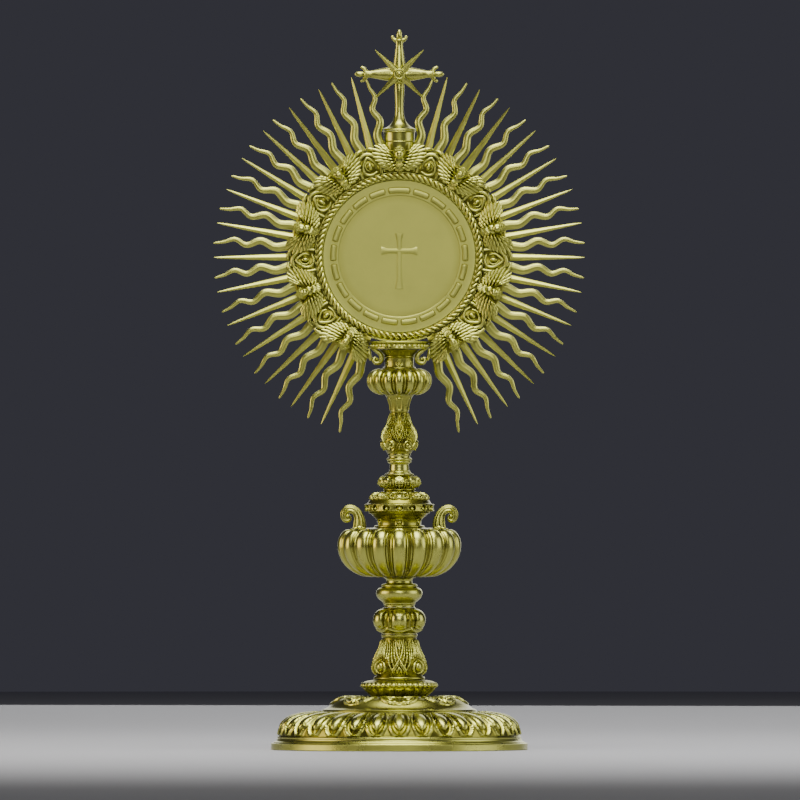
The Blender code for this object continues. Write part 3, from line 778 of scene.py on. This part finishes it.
stem_piece("upper_knop", [
    [(12.2, 316.6), (14.2, 316.6), (14.6, 316.1)], [(18.5, 316), (22.6, 314.2), (25.4, 310.8),
     (26, 306.6), (24.6, 302.2), (21, 298.6), (16, 296.7), (12.6, 296.2)],
    [(11.9, 295.9), (11.8, 295.5)],
], RIBS * 24, rib_relief, step=0.5)


def rosette_relief(t):
    """Six small rosettes round the socket's waist."""
    u = t.arc(6)
    v = t.z - 321.6
    distance = np.hypot(u, v)
    petals = (0.5 + 0.5 * np.cos(6 * np.arctan2(v, u))) * (1 - smooth(1.6, 2.3, distance))
    return 0.6 * petals + 0.5 * ridge(distance, 0.7) + 0.3 * ridge(distance - 2.7, 0.3)


stem_piece("head_socket", [
    [(14, 333.2), (17.6, 333.2)], [(15, 330.6), (12.9, 328)], [(13.3, 327.4), (12.9, 326.8)],
    [(12.4, 326.2)], [(12, 322), (12.4, 318.9)], [(13.5, 318.5), (13.9, 317.8), (13.4, 317.1)],
    [(13.4, 316.9)],
], 180, rosette_relief, step=0.42, bore=8.4)


stem_piece("socket_cup", [
    [(23.2, 340.2), (25.4, 340.2)], [(26, 339.7), (25.6, 339)], [(25, 338.6)],
    [(24.2, 338.2), (24, 336.2), (24.3, 334.8)], [(24.3, 334.2), (23.2, 333.9)],
    [(19.5, 333.7), (17.8, 333.5)],
], 160, step=0.4, bore=8.4, beads=(36, 24.4, 336.2, (1.45, 1.45, 1.45), 8, 12))


# ------------------------------------------------------------------ display case

AT_CASE = Matrix.Translation(CASE * MM)
AT_CASE_MM = Matrix.Translation(CASE)  # for shapes, which are in millimetres


def build_rope():
    """A three-strand rope laid into a ring, on a thin backing ring."""
    ring, strands, ridges = 66.9, 3, 86
    around, across = ridges * 10, 24
    turn = (np.arange(around) / around * TAU)[None, :]
    a = (np.arange(across) / across * TAU)[:, None]
    swell = np.abs(np.cos((strands * a - ridges * turn) / 2)) ** 0.8
    radius = 1.45 + 1.65 * swell
    r = ring + radius * np.cos(a)
    y = 6.0 + radius * np.sin(a)
    p = np.stack([r * np.sin(turn), -y, r * np.cos(turn)], -1)
    # Painted shade in the valleys between the strands.
    shape = Shape().grid(p, ring_rows=True, painted_shade=smooth(0.2, 0.8, swell))
    lathe(shape, [
        [(65.4, 5.2), (68.6, 5.2)], [(69.3, 3.3)],
    ], 192, bore=63.9)
    piece("rope_bezel", shape, RELIEF, 60, where=AT_CASE)


def arc_path(radius, start, end, count):
    """Points of an arc round the case, in degrees from the top."""
    a = np.radians(np.linspace(start, end, count))
    return np.stack([radius * np.sin(a), radius * np.cos(a)], 1)


DASH_RING = 55.0  # radius
DASHES = 20  # and one longer dash at the top
DASH_GAP = 3.1  # degrees
LONG_DASH = 9.4  # half of it, in degrees
SHADE_MARGIN = 0.55  # how far the strip of painted shade shows round a dash


def dash(shape, start, end):
    """A raised pad with round ends, on a slightly wider flat strip painted with the shadow of a sunk
    border, along the ring of dashes.
    """
    t = np.linspace(-1, 1, 24)
    ends = np.clip(1 - np.clip((np.abs(t) - 0.86) / 0.14, 0, 1) ** 2, 0.02, 1) ** 0.5
    border = arc_path(DASH_RING, start - SHADE_MARGIN, end + SHADE_MARGIN, len(t))
    strip(shape, border, (2.2 + SHADE_MARGIN) * ends, 0.5, SHADE_STRIP, forward=4.0)
    strip(shape, arc_path(DASH_RING, start, end, len(t)), 2.15 * ends, 1.4 * ends, PAD, forward=3.9)


def build_disc():
    """The satin disc with its ring of raised dashes and a plain raised cross in the middle."""
    shape = lathe(Shape(), [
        [(0.6, 3.62), (50.3, 3.62)], [(50.7, 3.72), (50.9, 4)], [(51.3, 4.02)], [(63.2, 4.02)],
        [(63.4, 3.8)], [(63.4, 1.2)], [(68, 1.2)], [(68, -0.8)], [(0.6, -0.8)],
    ], 192, step=3)
    dash(shape, -LONG_DASH, LONG_DASH)
    pitch = (360 - 2 * LONG_DASH - DASH_GAP) / DASHES
    for k in range(DASHES):
        start = LONG_DASH + DASH_GAP + k * pitch
        dash(shape, start, start + pitch - DASH_GAP)
    t = np.linspace(0, 1, 16)
    half = 2.0 + 1.5 * smooth(0.62, 1.0, t)
    for start, across, up in ((0, 0, 19), (0, 0, -27), (4.4, 15, 0), (4.4, -15, 0)):
        strip(shape, np.stack([across * t, start + up * t], 1), half, 0.85, PAD, forward=3.5)
    piece("display_disc", shape, SATIN, 30, slot="satin_gilt", where=AT_CASE)


# ------------------------------------------------------------------ rays

RAY_PITCH = 10.77  # degrees
FIRST_STRAIGHT = 15.0  # degrees from the top
RAYS_A_SIDE = 14  # straight ones; there is one more of the wavy ones
RAY_ROOT = 84.0  # radius
STRAIGHT_TIP = 154.4  # radius
WAVY_TIP = 155.0  # radius
TOP_WAVY_TIP = 149.5  # radius of the pair next to the cross


def straight_ray():
    """One straight ray, tapering to a fine tip."""
    t = np.linspace(0, 1, 14)
    path = np.stack([0 * t, RAY_ROOT + (STRAIGHT_TIP - RAY_ROOT) * t], 1)
    half = 2.9 * (1 - t) + 0.7
    half[-1] = 0.2
    return strip(Shape(), path, half, 0.55 + 2.15 * (1 - t), RIDGED, forward=0.7)


def wavy_ray(tip):
    """One wavy ray, which swings to and fro and tapers to a fine tip."""
    t = np.linspace(0, 1, 72)
    sway = [
        (0, RAY_ROOT), (0.6, 92), (-1.3, 103.5), (2.9, 116.3), (-1.7, 128), (2.2, 137.8), (-0.9, 147),
        (-2.5, WAVY_TIP),
    ]
    stretch = (tip - RAY_ROOT) / (WAVY_TIP - RAY_ROOT)
    path = along([(x, RAY_ROOT + (z - RAY_ROOT) * stretch) for x, z in sway], t)
    half = 3.6 * (1 - t) ** 0.8 + 0.75
    half[-1] = 0.25
    return strip(Shape(), path, half, 0.6 + 2.65 * (1 - t) ** 0.8, ROUNDED, forward=0.1)


NOTCH = 19.0  # half of the gap that the rings and the wreath leave for the socket, in degrees


def open_ring(shape, section, count=240, lumps=None, painted_shade=1.0):
    """Sweeps a section of (radius, forward) points round the case, and leaves a gap at the foot."""
    a = np.radians(np.linspace(180 + NOTCH, 540 - NOTCH, count))[:, None]
    rows = np.asarray(section, float)
    r = rows[None, :, 0] + 0 * a
    forward = rows[None, :, 1] + (lumps(a, rows) if lumps else 0 * a)
    return shape.grid(np.stack([r * np.sin(a), -forward, r * np.cos(a)], -1), painted_shade=painted_shade)


def ray_ring(outer, front, back):
    """The flat ring that the rays of one kind stand on."""
    inner, bevel = 72.4, 0.3
    rim = [(outer - bevel, front), (outer, front - bevel), (outer, back)]
    return open_ring(Shape(), [(inner, back), (inner, front), *rim])


def build_rays():
    """The straight rays on the front ring, and the wavy rays between them on the ring behind it."""
    straight = ray_ring(88, 2.0, 0.2)
    wavy = ray_ring(91, -0.1, -1.9)
    ray = straight_ray()
    for k in range(RAYS_A_SIDE):
        for side in (-1, 1):
            angle = side * (FIRST_STRAIGHT + k * RAY_PITCH)
            straight.add(ray, Matrix.Rotation(math.radians(angle), 4, "Y"))
    mirror = Matrix.Diagonal((-1, 1, 1, 1))
    for k in range(RAYS_A_SIDE + 1):
        flame = wavy_ray(TOP_WAVY_TIP if k == 0 else WAVY_TIP)
        angle = math.radians(FIRST_STRAIGHT + (k - 0.5) * RAY_PITCH)
        wavy.add(flame, Matrix.Rotation(angle, 4, "Y") @ mirror, mirrored=True)
        wavy.add(flame, Matrix.Rotation(-angle, 4, "Y"))
    piece("straight_rays", straight, RAY_GILT, 30, where=AT_CASE)
    piece("wavy_rays", wavy, RAY_GILT, 30, where=AT_CASE)


# ------------------------------------------------------------------ wreath

CHERUBS = 9
CHERUB_PITCH = 37.0  # degrees


def curl(shape, points, radius, forward, taper=0.35, count=22):
    """A roll along a curved path, thickest in the middle."""
    t = np.linspace(0, 1, count)
    size = radius * (taper + (1 - taper) * np.sin(math.pi * t) ** 0.7)
    strip(shape, along(points, t), size, size * 1.15, round_section(12), forward)


def cloud_group(mirror):
    """Clouds between two winged heads: nested hoods, and a pointed roll round an almond bud."""
    group = Shape()
    for side in (-1, 1):
        cheek = [(10.6 * side, 70.6), (12 * side, 76.5), (11 * side, 82.5), (9.4 * side, 87)]
        crest = [(8.8 * side, 87), (7.4 * side, 90.6), (4.4 * side, 92.6), (0.9 * side, 92.6)]
        curl(group, cheek, 1.9, 5.6)
        curl(group, crest, 1.9, 5.4)
    hood = [
        (-8.2, 70.2), (-9.1, 76), (-8.4, 82.4), (-5.2, 87.4), (-0.4, 89.2), (4.6, 87.4), (8.2, 82.4),
        (9.1, 76), (8.2, 70.4),
    ]
    curl(group, hood, 1.75, 6.6, taper=0.7, count=34)
    roll = [
        (5, 72.6), (-0.6, 71.4), (-4.8, 73.8), (-5.6, 78.4), (-3.4, 82.4), (0.4, 86), (3.4, 83.2),
        (5.6, 78.8), (4.4, 75),
    ]
    curl(group, roll, 1.45, 7.0, taper=0.4, count=36)
    curl(group, [(-0.4, 74.6), (-2.9, 77), (-2.8, 80.4), (-0.6, 82.4)], 0.8, 7.0)
    ball(group, (0.6, 7.0, 78.4), (1.9, 3.0, 3.5), rows=14)
    return Shape().add(group, Matrix.Diagonal((-1 if mirror else 1, 1, 1, 1)), mirrored=mirror)


def cloud_lumps(a, rows):
    """Low swellings over the front of the wreath's body."""
    radius, forward = rows[None, :, 0], rows[None, :, 1]
    swell = np.cos(a * 29 + 1.3 * np.sin(a * 9)) * np.cos(radius * 0.6)
    return 0.35 * swell * (forward > 4.0)


def build_wreath():
    """The wreath's body and its clouds, open at the foot, where it ends in two scrolls."""
    rows = outline([
        [(70.2, 3.4), (70.4, 4), (72.6, 4.4), (79, 4.4), (86, 4.4), (89.2, 4.2), (90.2, 3.4)],
        [(70.2, 3.4)],
    ], 0.9)[:-1]
    # The body takes nearly the full painted shade, so that it reads as the shadow in the gaps between
    # the clouds.
    shape = open_ring(Shape(), rows, 420, cloud_lumps, painted_shade=0.05)
    groups = CHERUBS - 1
    for k in range(groups):
        angle = (k + 0.5 - groups / 2) * CHERUB_PITCH
        shape.add(cloud_group(angle > 0), Matrix.Rotation(math.radians(angle), 4, "Y"))
    scroll = Shape()
    spiral = [
        (23.6, -76), (19.6, -78.6), (16, -81.6), (14.6, -85.2), (16.4, -88.4), (20.2, -88.6),
        (21.4, -85.8), (19.4, -84.2),
    ]
    curl(scroll, spiral, 2.1, 5.9, taper=0.55, count=36)
    curl(scroll, [(25.2, -77), (25, -82), (23.6, -87)], 2.0, 5.6)
    ball(scroll, (18.6, 5.6, -85.6), (1.5, 1.7, 1.5))
    for side in (-1, 1):
        shape.add(scroll, Matrix.Diagonal((side, 1, 1, 1)), mirrored=side < 0)
    piece("cloud_wreath", shape, RELIEF, 60, where=AT_CASE)


def feather(shape, root, tip, width, forward):
    """A long feather with a blunt tip, laid on the wreath and arched a little forward."""
    t = np.linspace(0, 1, 9)
    path = root + t[:, None] * (tip - root)
    blunt = np.sqrt(np.clip(1 - (np.clip(t - 0.8, 0, 1) / 0.205) ** 2, 0.01, 1))
    half = width / 2 * (0.42 + 0.58 * smooth(0, 0.8, t)) * blunt
    strip(shape, path, half, 0.95, BARBED, forward=forward + 0.9 * np.sin(math.pi * t))


def face_relief(x, y, z):
    """A calm, generic child's face on the front of a ball."""
    front = smooth(0.0, 0.5, y)
    ax = np.abs(x)
    nose = 0.17 * ridge(x, 0.11) * smooth(0.32, -0.14, z) * smooth(-0.30, -0.16, z)
    socket = -0.12 * ridge(ax - 0.34, 0.17) * ridge(z - 0.12, 0.12)
    eye = 0.10 * ridge(ax - 0.34, 0.11) * ridge(z - 0.10, 0.06)
    brow = 0.06 * ridge(z - 0.32, 0.09) * ridge(ax - 0.3, 0.28)
    cheek = 0.09 * ridge(ax - 0.45, 0.2) * ridge(z + 0.26, 0.2)
    lips = 0.08 * ridge(x, 0.17) * (ridge(z + 0.43, 0.045) + ridge(z + 0.53, 0.05))
    lips -= 0.05 * ridge(x, 0.2) * ridge(z + 0.48, 0.02)
    chin = 0.09 * ridge(x, 0.2) * ridge(z + 0.76, 0.14)
    return front * (nose + socket + eye + brow + cheek + lips + chin) - 0.10 * smooth(-0.3, -0.9, z)


def hair_curls(shape, head):
    """Rows of small snail curls over the crown and down to the ears."""
    rng = random.Random(3)
    for lift, count, start in ((0.45, 8, -74), (0.74, 7, -66), (0.94, 4, -50), (0.12, 2, -88)):
        for k in range(count):
            a = math.radians(start + k * (-2 * start) / max(1, count - 1))
            level = math.sqrt(1 - lift * lift)
            x = head[0] + 4.2 * level * math.sin(a)
            y = head[1] + 3.9 * level * math.cos(a)
            z = head[2] + 4.9 * lift
            size = rng.uniform(0.95, 1.25)
            turn = rng.choice((-1, 1))
            t = np.linspace(0, 1, 16)
            swirl = t * TAU * 1.4 * turn
            reach = size * (1 - 0.8 * t)
            path = np.stack([x + reach * np.cos(swirl), z + reach * np.sin(swirl)], 1)
            strip(shape, path, 0.46, 0.65, round_section(7), forward=y + 0.5 * t)
            ball(shape, (x, y - 0.2, z), (size * 1.1, 0.9, size * 1.1), rows=6, columns=10)


def wing(shape):
    """The right-hand wing: long flight feathers laid outwards, and two rows of coverts over them."""
    arm = [(2.4, 73.6), (2.8, 76.6), (3.8, 80.0), (5.4, 83.4), (7.6, 86.6)]
    edge = [
        (9, 71.6), (14, 73.6), (18.4, 77.6), (21.4, 82.2), (22.8, 87), (21.8, 91.4), (18.4, 93.4),
        (14, 93.2),
    ]
    layers = ((11, 1.0, 3.2, 8.9), (9, 0.66, 2.6, 10.2), (7, 0.36, 2.2, 11.4))
    for count, reach, width, forward in layers:
        share = np.linspace(0, 1, count)
        roots, tips = along(arm, 0.02 + 0.96 * share), along(edge, share)
        for root, tip in zip(roots, roots + reach * (tips - roots)):
            feather(shape, root, tip, width, forward)


def cherub_shape():
    """A child's head between two wings, over a bib of feathers."""
    shape = Shape()
    right = Shape()
    wing(right)
    shape.add(right)
    shape.add(right, Matrix.Diagonal((-1, 1, 1, 1)), mirrored=True)
    for count, reach, width, forward in ((9, 1.0, 2.4, 9.4), (7, 0.62, 2.2, 10.9)):
        for k in range(count):
            a = math.radians(180 + (k - (count - 1) / 2) * 120 / count)
            root = np.array([1.6 * math.sin(a), 78.6])
            tip = root + reach * np.array([5.2 * math.sin(a), 8.6 * math.cos(a)])
            feather(shape, root, tip, width, forward)
    ball(shape, (0, 9.6, 80.4), (4.6, 2.9, 4.2), rows=16, columns=24)
    ball(shape, (0, 12.7, 84.8), (3.9, 3.9, 4.9), rows=40, columns=48, relief=face_relief)
    ball(shape, (0, 11.4, 86), (4.4, 3.5, 4.9), rows=16, columns=20)
    hair_curls(shape, (0, 11.9, 85.8))
    return shape


def build_cherubs():
    """Nine like winged heads round the wreath, the middle one at the top."""
    mesh = cherub_shape().mesh("cherub", 50)
    for k in range(CHERUBS):
        turn = Matrix.Rotation(math.radians((k - CHERUBS // 2) * CHERUB_PITCH), 4, "Y")
        place(f"cherub_{k + 1}_gilt", mesh, RELIEF, [f"cherub_{k + 1}"], where=AT_CASE @ turn)


# ------------------------------------------------------------------ back of the case


def lens_box(shape, low, high, hole=None, columns=64):
    """A block with softened corners. A hole is (x, z, radius) and runs right through, along y."""
    x, z, bore = hole or ((low[0] + high[0]) / 2, (low[2] + high[2]) / 2, None)
    a = (np.arange(columns) + 0.5) / columns * TAU
    wide = np.where(np.sin(a) > 0, high[0] - x, x - low[0])
    tall = np.where(np.cos(a) > 0, high[2] - z, z - low[2])
    reach = (np.abs(np.sin(a) / wide) ** 16 + np.abs(np.cos(a) / tall) ** 16) ** (-1 / 16)
    soft = 0.25

    def ring(radius, y):
        return np.stack([x + radius * np.sin(a), y + 0 * a, z + radius * np.cos(a)], -1)

    rings = [ring(reach - soft, low[1]), ring(reach, low[1] + soft), ring(reach, high[1] - soft),
             ring(reach - soft, high[1])]
    if bore:
        rings += [ring(bore, high[1]), ring(bore, low[1])]
    return shape.grid(np.array(rings), ring_rows=bool(bore))


def knuckle(shape, low, high):
    """A barrel of the hinge, bored for the pin, with its ends eased."""
    pin = middle("hinge_pin")
    outer, bore, soft = 2.6, 1.32, 0.2
    turned(shape, [
        [(outer - soft, high), (outer, high - soft)], [(outer, low + soft)], [(outer - soft, low)],
    ], 48, bore=bore, centre=(pin.x, pin.y))


def build_drum():
    """The drum of the case, with two barrels of the hinge and the lug and post of the turn-button."""
    shape = lathe(Shape(), [
        [(65, 3), (71.6, 3)], [(72, 2.6)], [(72, -13.6)], [(71.6, -14)], [(69.4, -14)],
        [(69, -13.6)], [(69, -1.5)], [(65, -1.5)],
    ], 192, step=3, bore=65)
    shape = Shape().add(shape, AT_CASE_MM)
    z = CASE.z
    for low, high in ((z + 5.3, z + 12), (z - 12, z - 5.3)):
        lens_box(shape, (70.3, 9.5, low), (77.5, 13.7, high))
        knuckle(shape, low, high)
    screw = middle("latch_screw")
    hole = (screw.x, z, 1.5)
    lens_box(shape, (-79, 8, z - 4), (-70.3, 13.8, z + 4), hole)
    lens_box(shape, (-79, 8, z - 4), (-72.4, 17.3, z + 4), hole)
    piece("case_drum", shape, POLISHED)


def build_rear_door():
    """The door: a shallow dish with a rolled rim, two turned grooves and a small boss."""
    shape = lathe(Shape(), [
        [(0.4, -14.3), (71.2, -14.3)], [(71.5, -14.6)], [(71.5, -15.9)],
        [(71.1, -16.3), (70, -16.4)], [(68.8, -17.1), (67.2, -17.4), (65.6, -17), (64.8, -16.2)],
        [(61.4, -16.5)], [(60.9, -16.1), (60.3, -16.1), (59.8, -16.7)],
        [(40, -17.6), (18.6, -18.2)], [(18.1, -17.8), (17.5, -17.8), (17, -18.2)], [(8, -18.3)],
        [(7.2, -18.9), (5, -19.4), (0.4, -19.6)],
    ], 192, step=2)
    shape = Shape().add(shape, AT_CASE_MM)
    z = CASE.z
    lens_box(shape, (69.5, 14.3, z - 5), (74.6, 16.3, z + 5))
    knuckle(shape, z - 5, z + 5)
    piece("rear_door", shape, POLISHED, body="door")
    knob = middle("door_knob")
    shape = lathe(Shape(), [
        [(0.3, -17.2), (3, -17.2)], [(3, -17.8), (2.1, -18.6), (1.9, -20), (2.4, -21.2),
         (3.4, -22.4), (3.5, -23.8), (2.8, -25.3), (1.5, -26), (0.3, -26.2)],
    ], 64, step=0.3)
    at_knob = Matrix.Translation(Vector((knob.x, 0, CASE.z)) * MM)
    piece("door_knob", shape, POLISHED, body="door", where=at_knob)


def build_latch():
    """The turn-button with its bent-up thumb tab."""
    low, high = span("latch_bar")
    screw = middle("latch_screw")
    shape = Shape()
    lens_box(shape, low, (high.x, low.y + 1.6, high.z), (screw.x, CASE.z, 1.5))
    lens_box(shape, (low.x, low.y + 0.8, high.z - 1.6), high)
    piece("latch_bar", shape, POLISHED, body="latch")


def slotted(t):
    """A screwdriver slot across a screw's head."""
    across = np.abs(t.r * np.sin(t.angle + 0.6))
    return -0.55 * (1 - smooth(0.28, 0.42, across)) * (t.s > t.length - 2.6)


def build_screws():
    """The slotted screws and the hinge's pin, all in bright steel."""
    shank = 1.2
    ring_screws = [name for name in frame["nodes"] if name.startswith("ring_screw_")]
    for name in [*ring_screws, "latch_screw"]:
        tip = -span(name)[0].y
        seat, head, crown = (-19.5, 2.8, -21.0) if name == "latch_screw" else (-4.5, 2.6, -6.0)
        shape = lathe(Shape(), [
            [(0.2, tip), (shank, tip)], [(shank, seat)], [(head, seat)],
            [(head, seat - 0.5), (head - 0.5, crown + 0.3), (0.2, crown)],
        ], 56, slotted, step=0.25)
        at_screw = Matrix.Translation(Vector((middle(name).x, 0, middle(name).z)) * MM)
        piece(name, shape, BRIGHT_STEEL, 45, where=at_screw)
    foot, top = (corner.z for corner in span("hinge_pin"))
    pin = middle("hinge_pin")
    shape = turned(Shape(), [
        [(0.2, top), (0.9, top - 0.1), (1.8, top - 0.7), (2, top - 1.4)], [(1.9, top - 1.6)],
        [(shank, top - 1.6)], [(shank, foot + 0.3)], [(0.9, foot)], [(0.2, foot)],
    ], 48, step=0.4, bore=None, centre=(pin.x, pin.y))
    piece("hinge_pin", shape, BRIGHT_STEEL)


def build_rings():
    """The rear ring with its engraved lines and its tab, and the two rings that hold the disc."""
    section = [
        (72.5, -2.2), (87.6, -2.2), (88, -2.6), (88, -3.8), (87.6, -4.2), (86.2, -4.2), (85.9, -3.8),
        (85.5, -3.8), (85.2, -4.2), (75.2, -4.2), (74.9, -3.8), (74.5, -3.8), (74.2, -4.2),
        (72.8, -4.2), (72.5, -3.9),
    ]
    shape = Shape().add(open_ring(Shape(), section, 360), AT_CASE_MM)
    low, high = span("rear_ring")
    lens_box(shape, (-5, low.y, CASE.z + 86), (5, high.y, high.z))
    piece("rear_ring", shape, POLISHED, 30)
    shape = lathe(Shape(), [
        [(60.3, -1.1), (67.7, -1.1)], [(68, -1.4)], [(68, -5.7)], [(67.7, -6)], [(60.3, -6)],
    ], 192, step=4, bore=60)
    piece("disc_ring", shape, POLISHED, where=AT_CASE)
    opening = 4.4
    wire = arc_path(67.25, opening, 360 - opening, 240)
    shape = strip(Shape(), wire, 1.25, 0.6, SQUARE, forward=-6.9)
    piece("disc_snap_ring", shape, BRIGHT_STEEL, where=AT_CASE)


# ------------------------------------------------------------------ cross


def build_cross():
    """Waisted arms with budded ends and a four-pointed star behind the boss, on a flared shaft."""
    stand_y = middle("cross_shaft").y
    shape = turned(Shape(), [
        [(4, 515.6), (13.4, 515.6)], [(13.9, 515.2), (13.4, 514.6)], [(12.9, 514.2)],
        [(12.6, 507.2)], [(13.1, 506.7), (12.6, 506.2)], [(12, 499.8)],
    ], 128, step=0.4, bore=2.4, centre=(0, stand_y))
    piece("cross_socket", shape, POLISHED)
    shape = turned(Shape(), [
        [(0.3, 556.6), (4.8, 556.6)], [(5.4, 555.9), (4.8, 555.1)], [(4.3, 554.6)],
        [(4.4, 550), (3.9, 542), (3.7, 534), (4.3, 527.6), (6.4, 522.2), (9.8, 519), (13.2, 517.4)],
        [(13.8, 516.9), (13.4, 515.9)], [(2, 515.9)], [(2, 507)], [(0.3, 507)],
    ], 96, step=0.5, bore=None, centre=(0, stand_y))
    piece("cross_shaft", shape, POLISHED)
    build_cross_arms(stand_y)
    build_star()
    build_boss()


CROSS_ARM = 37.2


def cross_arm(length, girth):
    """One arm, pointing up from the crossing: a waisted bar, a collar, a bud and two curled leaves.

    Girth is 1 for the upper arm, and more for arms whose bar swells more over its waist.
    """
    shape = Shape()
    bar_end = length - 8.6
    t = np.linspace(0, 1, 30)
    waist = [(0, 4.4), (0.2, 5.2), (0.32, 5), (0.52, 3.7), (0.78, 3), (0.92, 3.1), (1, 3.4)]
    half = 3.0 + (along(waist, t)[:, 1] - 3.0) * girth
    strip(shape, np.stack([0 * t, t * bar_end], 1), half, half * 0.8, round_section(28))
    u = np.linspace(0, 1, 14)
    swell = np.sin(math.pi * u)
    collar = np.stack([0 * u, bar_end - 1.2 + 2.0 * u], 1)
    strip(shape, collar, 2.8 + 1.0 * swell, 2.5 + 0.9 * swell, round_section(28))
    ball(shape, (0, 0, length - 4.5), (2.4, 2.2, 4.6), rows=20, columns=24)
    for side in (-1, 1):
        leaf = [(1, -1.2), (3, -0.4), (4.8, 0.9), (5.7, 2.6)]
        path = along([(x * side, bar_end + z) for x, z in leaf], u)
        strip(shape, path, 2.2 - 0.95 * u, 2.0 - 0.85 * u, round_section(18))
        ball(shape, (5.7 * side, 0, bar_end + 2.6), (1.27, 1.17, 1.27))
    return shape


def build_cross_arms(y):
    """Three like arms, a short foot on the shaft, and the swelling where they cross."""
    shape = Shape()
    centre = Matrix.Translation(Vector((0, y, CROSS.z)))
    for turn, girth in ((0, 1.0), (90, 1.5), (-90, 1.5)):
        shape.add(cross_arm(CROSS_ARM, girth), centre @ Matrix.Rotation(math.radians(turn), 4, "Y"))
    t = np.linspace(0, 1, 8)
    foot = strip(Shape(), np.stack([0 * t, -6.2 * t], 1), 5.0 - 0.1 * t, 3.8, round_section(28))
    shape.add(foot, centre)
    ball(shape, (0, -y, CROSS.z), (6.4, 4.2, 6.4))
    piece("cross_arms", shape, POLISHED, 40)


def build_star():
    """Four ridged points between the arms."""
    t = np.linspace(0, 1, 12)
    half = 2.5 * (1 - t) + 0.55
    half[-1] = 0.25
    path = np.stack([0 * t, 2 + 26.6 * t], 1)
    blade = strip(Shape(), path, half, 0.5 + 1.8 * (1 - t), RIDGED, forward=-0.3)
    shape = Shape()
    for turn in (45, 135, 225, 315):
        shape.add(blade, Matrix.Translation(CROSS) @ Matrix.Rotation(math.radians(turn), 4, "Y"))
    piece("cross_star", shape, POLISHED, 30)


def build_boss():
    """The boss in front of the star: a button in a sunk ring, in a rolled rim."""
    shape = lathe(Shape(), [
        [(0.15, 3.9), (1.4, 3.5), (2, 2.3)], [(2.9, 2.2), (3.2, 2.9)],
        [(4, 3.1), (4.7, 2.2), (5.2, 0.6)], [(5.2, -0.4)], [(0.15, -0.4)],
    ], 64, step=0.3)
    at_back = Matrix.Translation(Vector((0, span("cross_boss")[1].y, CROSS.z)) * MM)
    piece("cross_boss", shape, POLISHED, where=at_back)


# ------------------------------------------------------------------ the plain pieces that stay


def finish_cad_nodes():
    """Gives the plain CAD pieces that stay visible their metal."""
    parts = frame["record"]["subparts"]
    steel = {part["node"] for part in parts if part["material_slot"] == "steel"}
    for name, obj in frame["nodes"].items():
        if not obj.hide_render:
            obj.data.materials.clear()
            obj.data.materials.append(BRIGHT_STEEL if name in steel else POLISHED)


# ------------------------------------------------------------------ studio


FLOOR_COLOUR = (0.42, 0.42, 0.435, 1)
STUDIO_COLOUR = (0.036, 0.036, 0.046, 1)
FLOOR_RADIUS = 4000
FLOOR_THICK = 20
LOOKED_AT = Vector((0, 0, 0.33))  # what every light faces, in metres
CAMERA_PLACE = (0.0006, -20, 0.2912)  # metres
LENS = 1080
LIGHTS = (  # name, place and size in metres, power in watts, spread in degrees, colour
    ("key", (0, -2.4, 1.2), 1.2, 3.4, 70, (1, 1, 0.97)),
    ("right", (2, -0.45, 0.7), 1.6, 8, 120, (1, 1, 1)),
    ("left", (-2.2, -0.4, 0.5), 1.4, 12, 120, (1, 0.82, 0.62)),
    ("top", (0, -0.7, 2.1), 1.8, 18, 80, (1, 1, 1)),
    ("back", (0.3, 2.6, 1), 2.2, 17, 140, (1, 1, 1)),
)


def build_floor():
    """A pale round floor, far wider than the view."""
    circle = round_section(96)
    rims = ((1, 0), (FLOOR_RADIUS, 0), (FLOOR_RADIUS, -FLOOR_THICK), (1, -FLOOR_THICK))
    rings = [np.concatenate([circle * r, np.full((96, 1), z)], 1) for r, z in rims]
    floor = bpy.data.objects.new("floor", Shape().grid(np.array(rings)).mesh("floor"))
    bpy.context.scene.collection.objects.link(floor)
    floor.location.z = -0.0002
    pale = bpy.data.materials.new("pale_floor")
    pale.use_nodes = True
    shader = pale.node_tree.nodes["Principled BSDF"]
    shader.inputs["Base Color"].default_value = FLOOR_COLOUR
    shader.inputs["Roughness"].default_value = 0.7
    floor.data.materials.append(pale)


def build_studio():
    """The floor, five soft area lights in a dim room, and a long lens straight in front."""
    build_floor()
    scene = bpy.context.scene
    world = bpy.data.worlds.new("studio")
    world.use_nodes = True
    world.node_tree.nodes["Background"].inputs["Color"].default_value = STUDIO_COLOUR
    scene.world = world
    for name, spot, size, power, spread, tint in LIGHTS:
        lamp = bpy.data.lights.new(name, "AREA")
        lamp.size = size
        lamp.energy = power
        lamp.spread = math.radians(spread)
        lamp.color = tint
        obj = bpy.data.objects.new(name, lamp)
        obj.location = spot
        obj.rotation_euler = (LOOKED_AT - Vector(spot)).to_track_quat("-Z", "Y").to_euler()
        scene.collection.objects.link(obj)
    camera = bpy.data.cameras.new("camera")
    camera.lens = LENS
    camera.clip_end = 60
    obj = bpy.data.objects.new("camera", camera)
    obj.location = CAMERA_PLACE
    obj.rotation_euler = (math.radians(90), 0, 0)
    scene.collection.objects.link(obj)
    scene.camera = obj


build_rope()
build_disc()
build_rays()
build_wreath()
build_cherubs()
build_drum()
build_rear_door()
build_latch()
build_screws()
build_rings()
build_cross()
finish_cad_nodes()
build_studio()
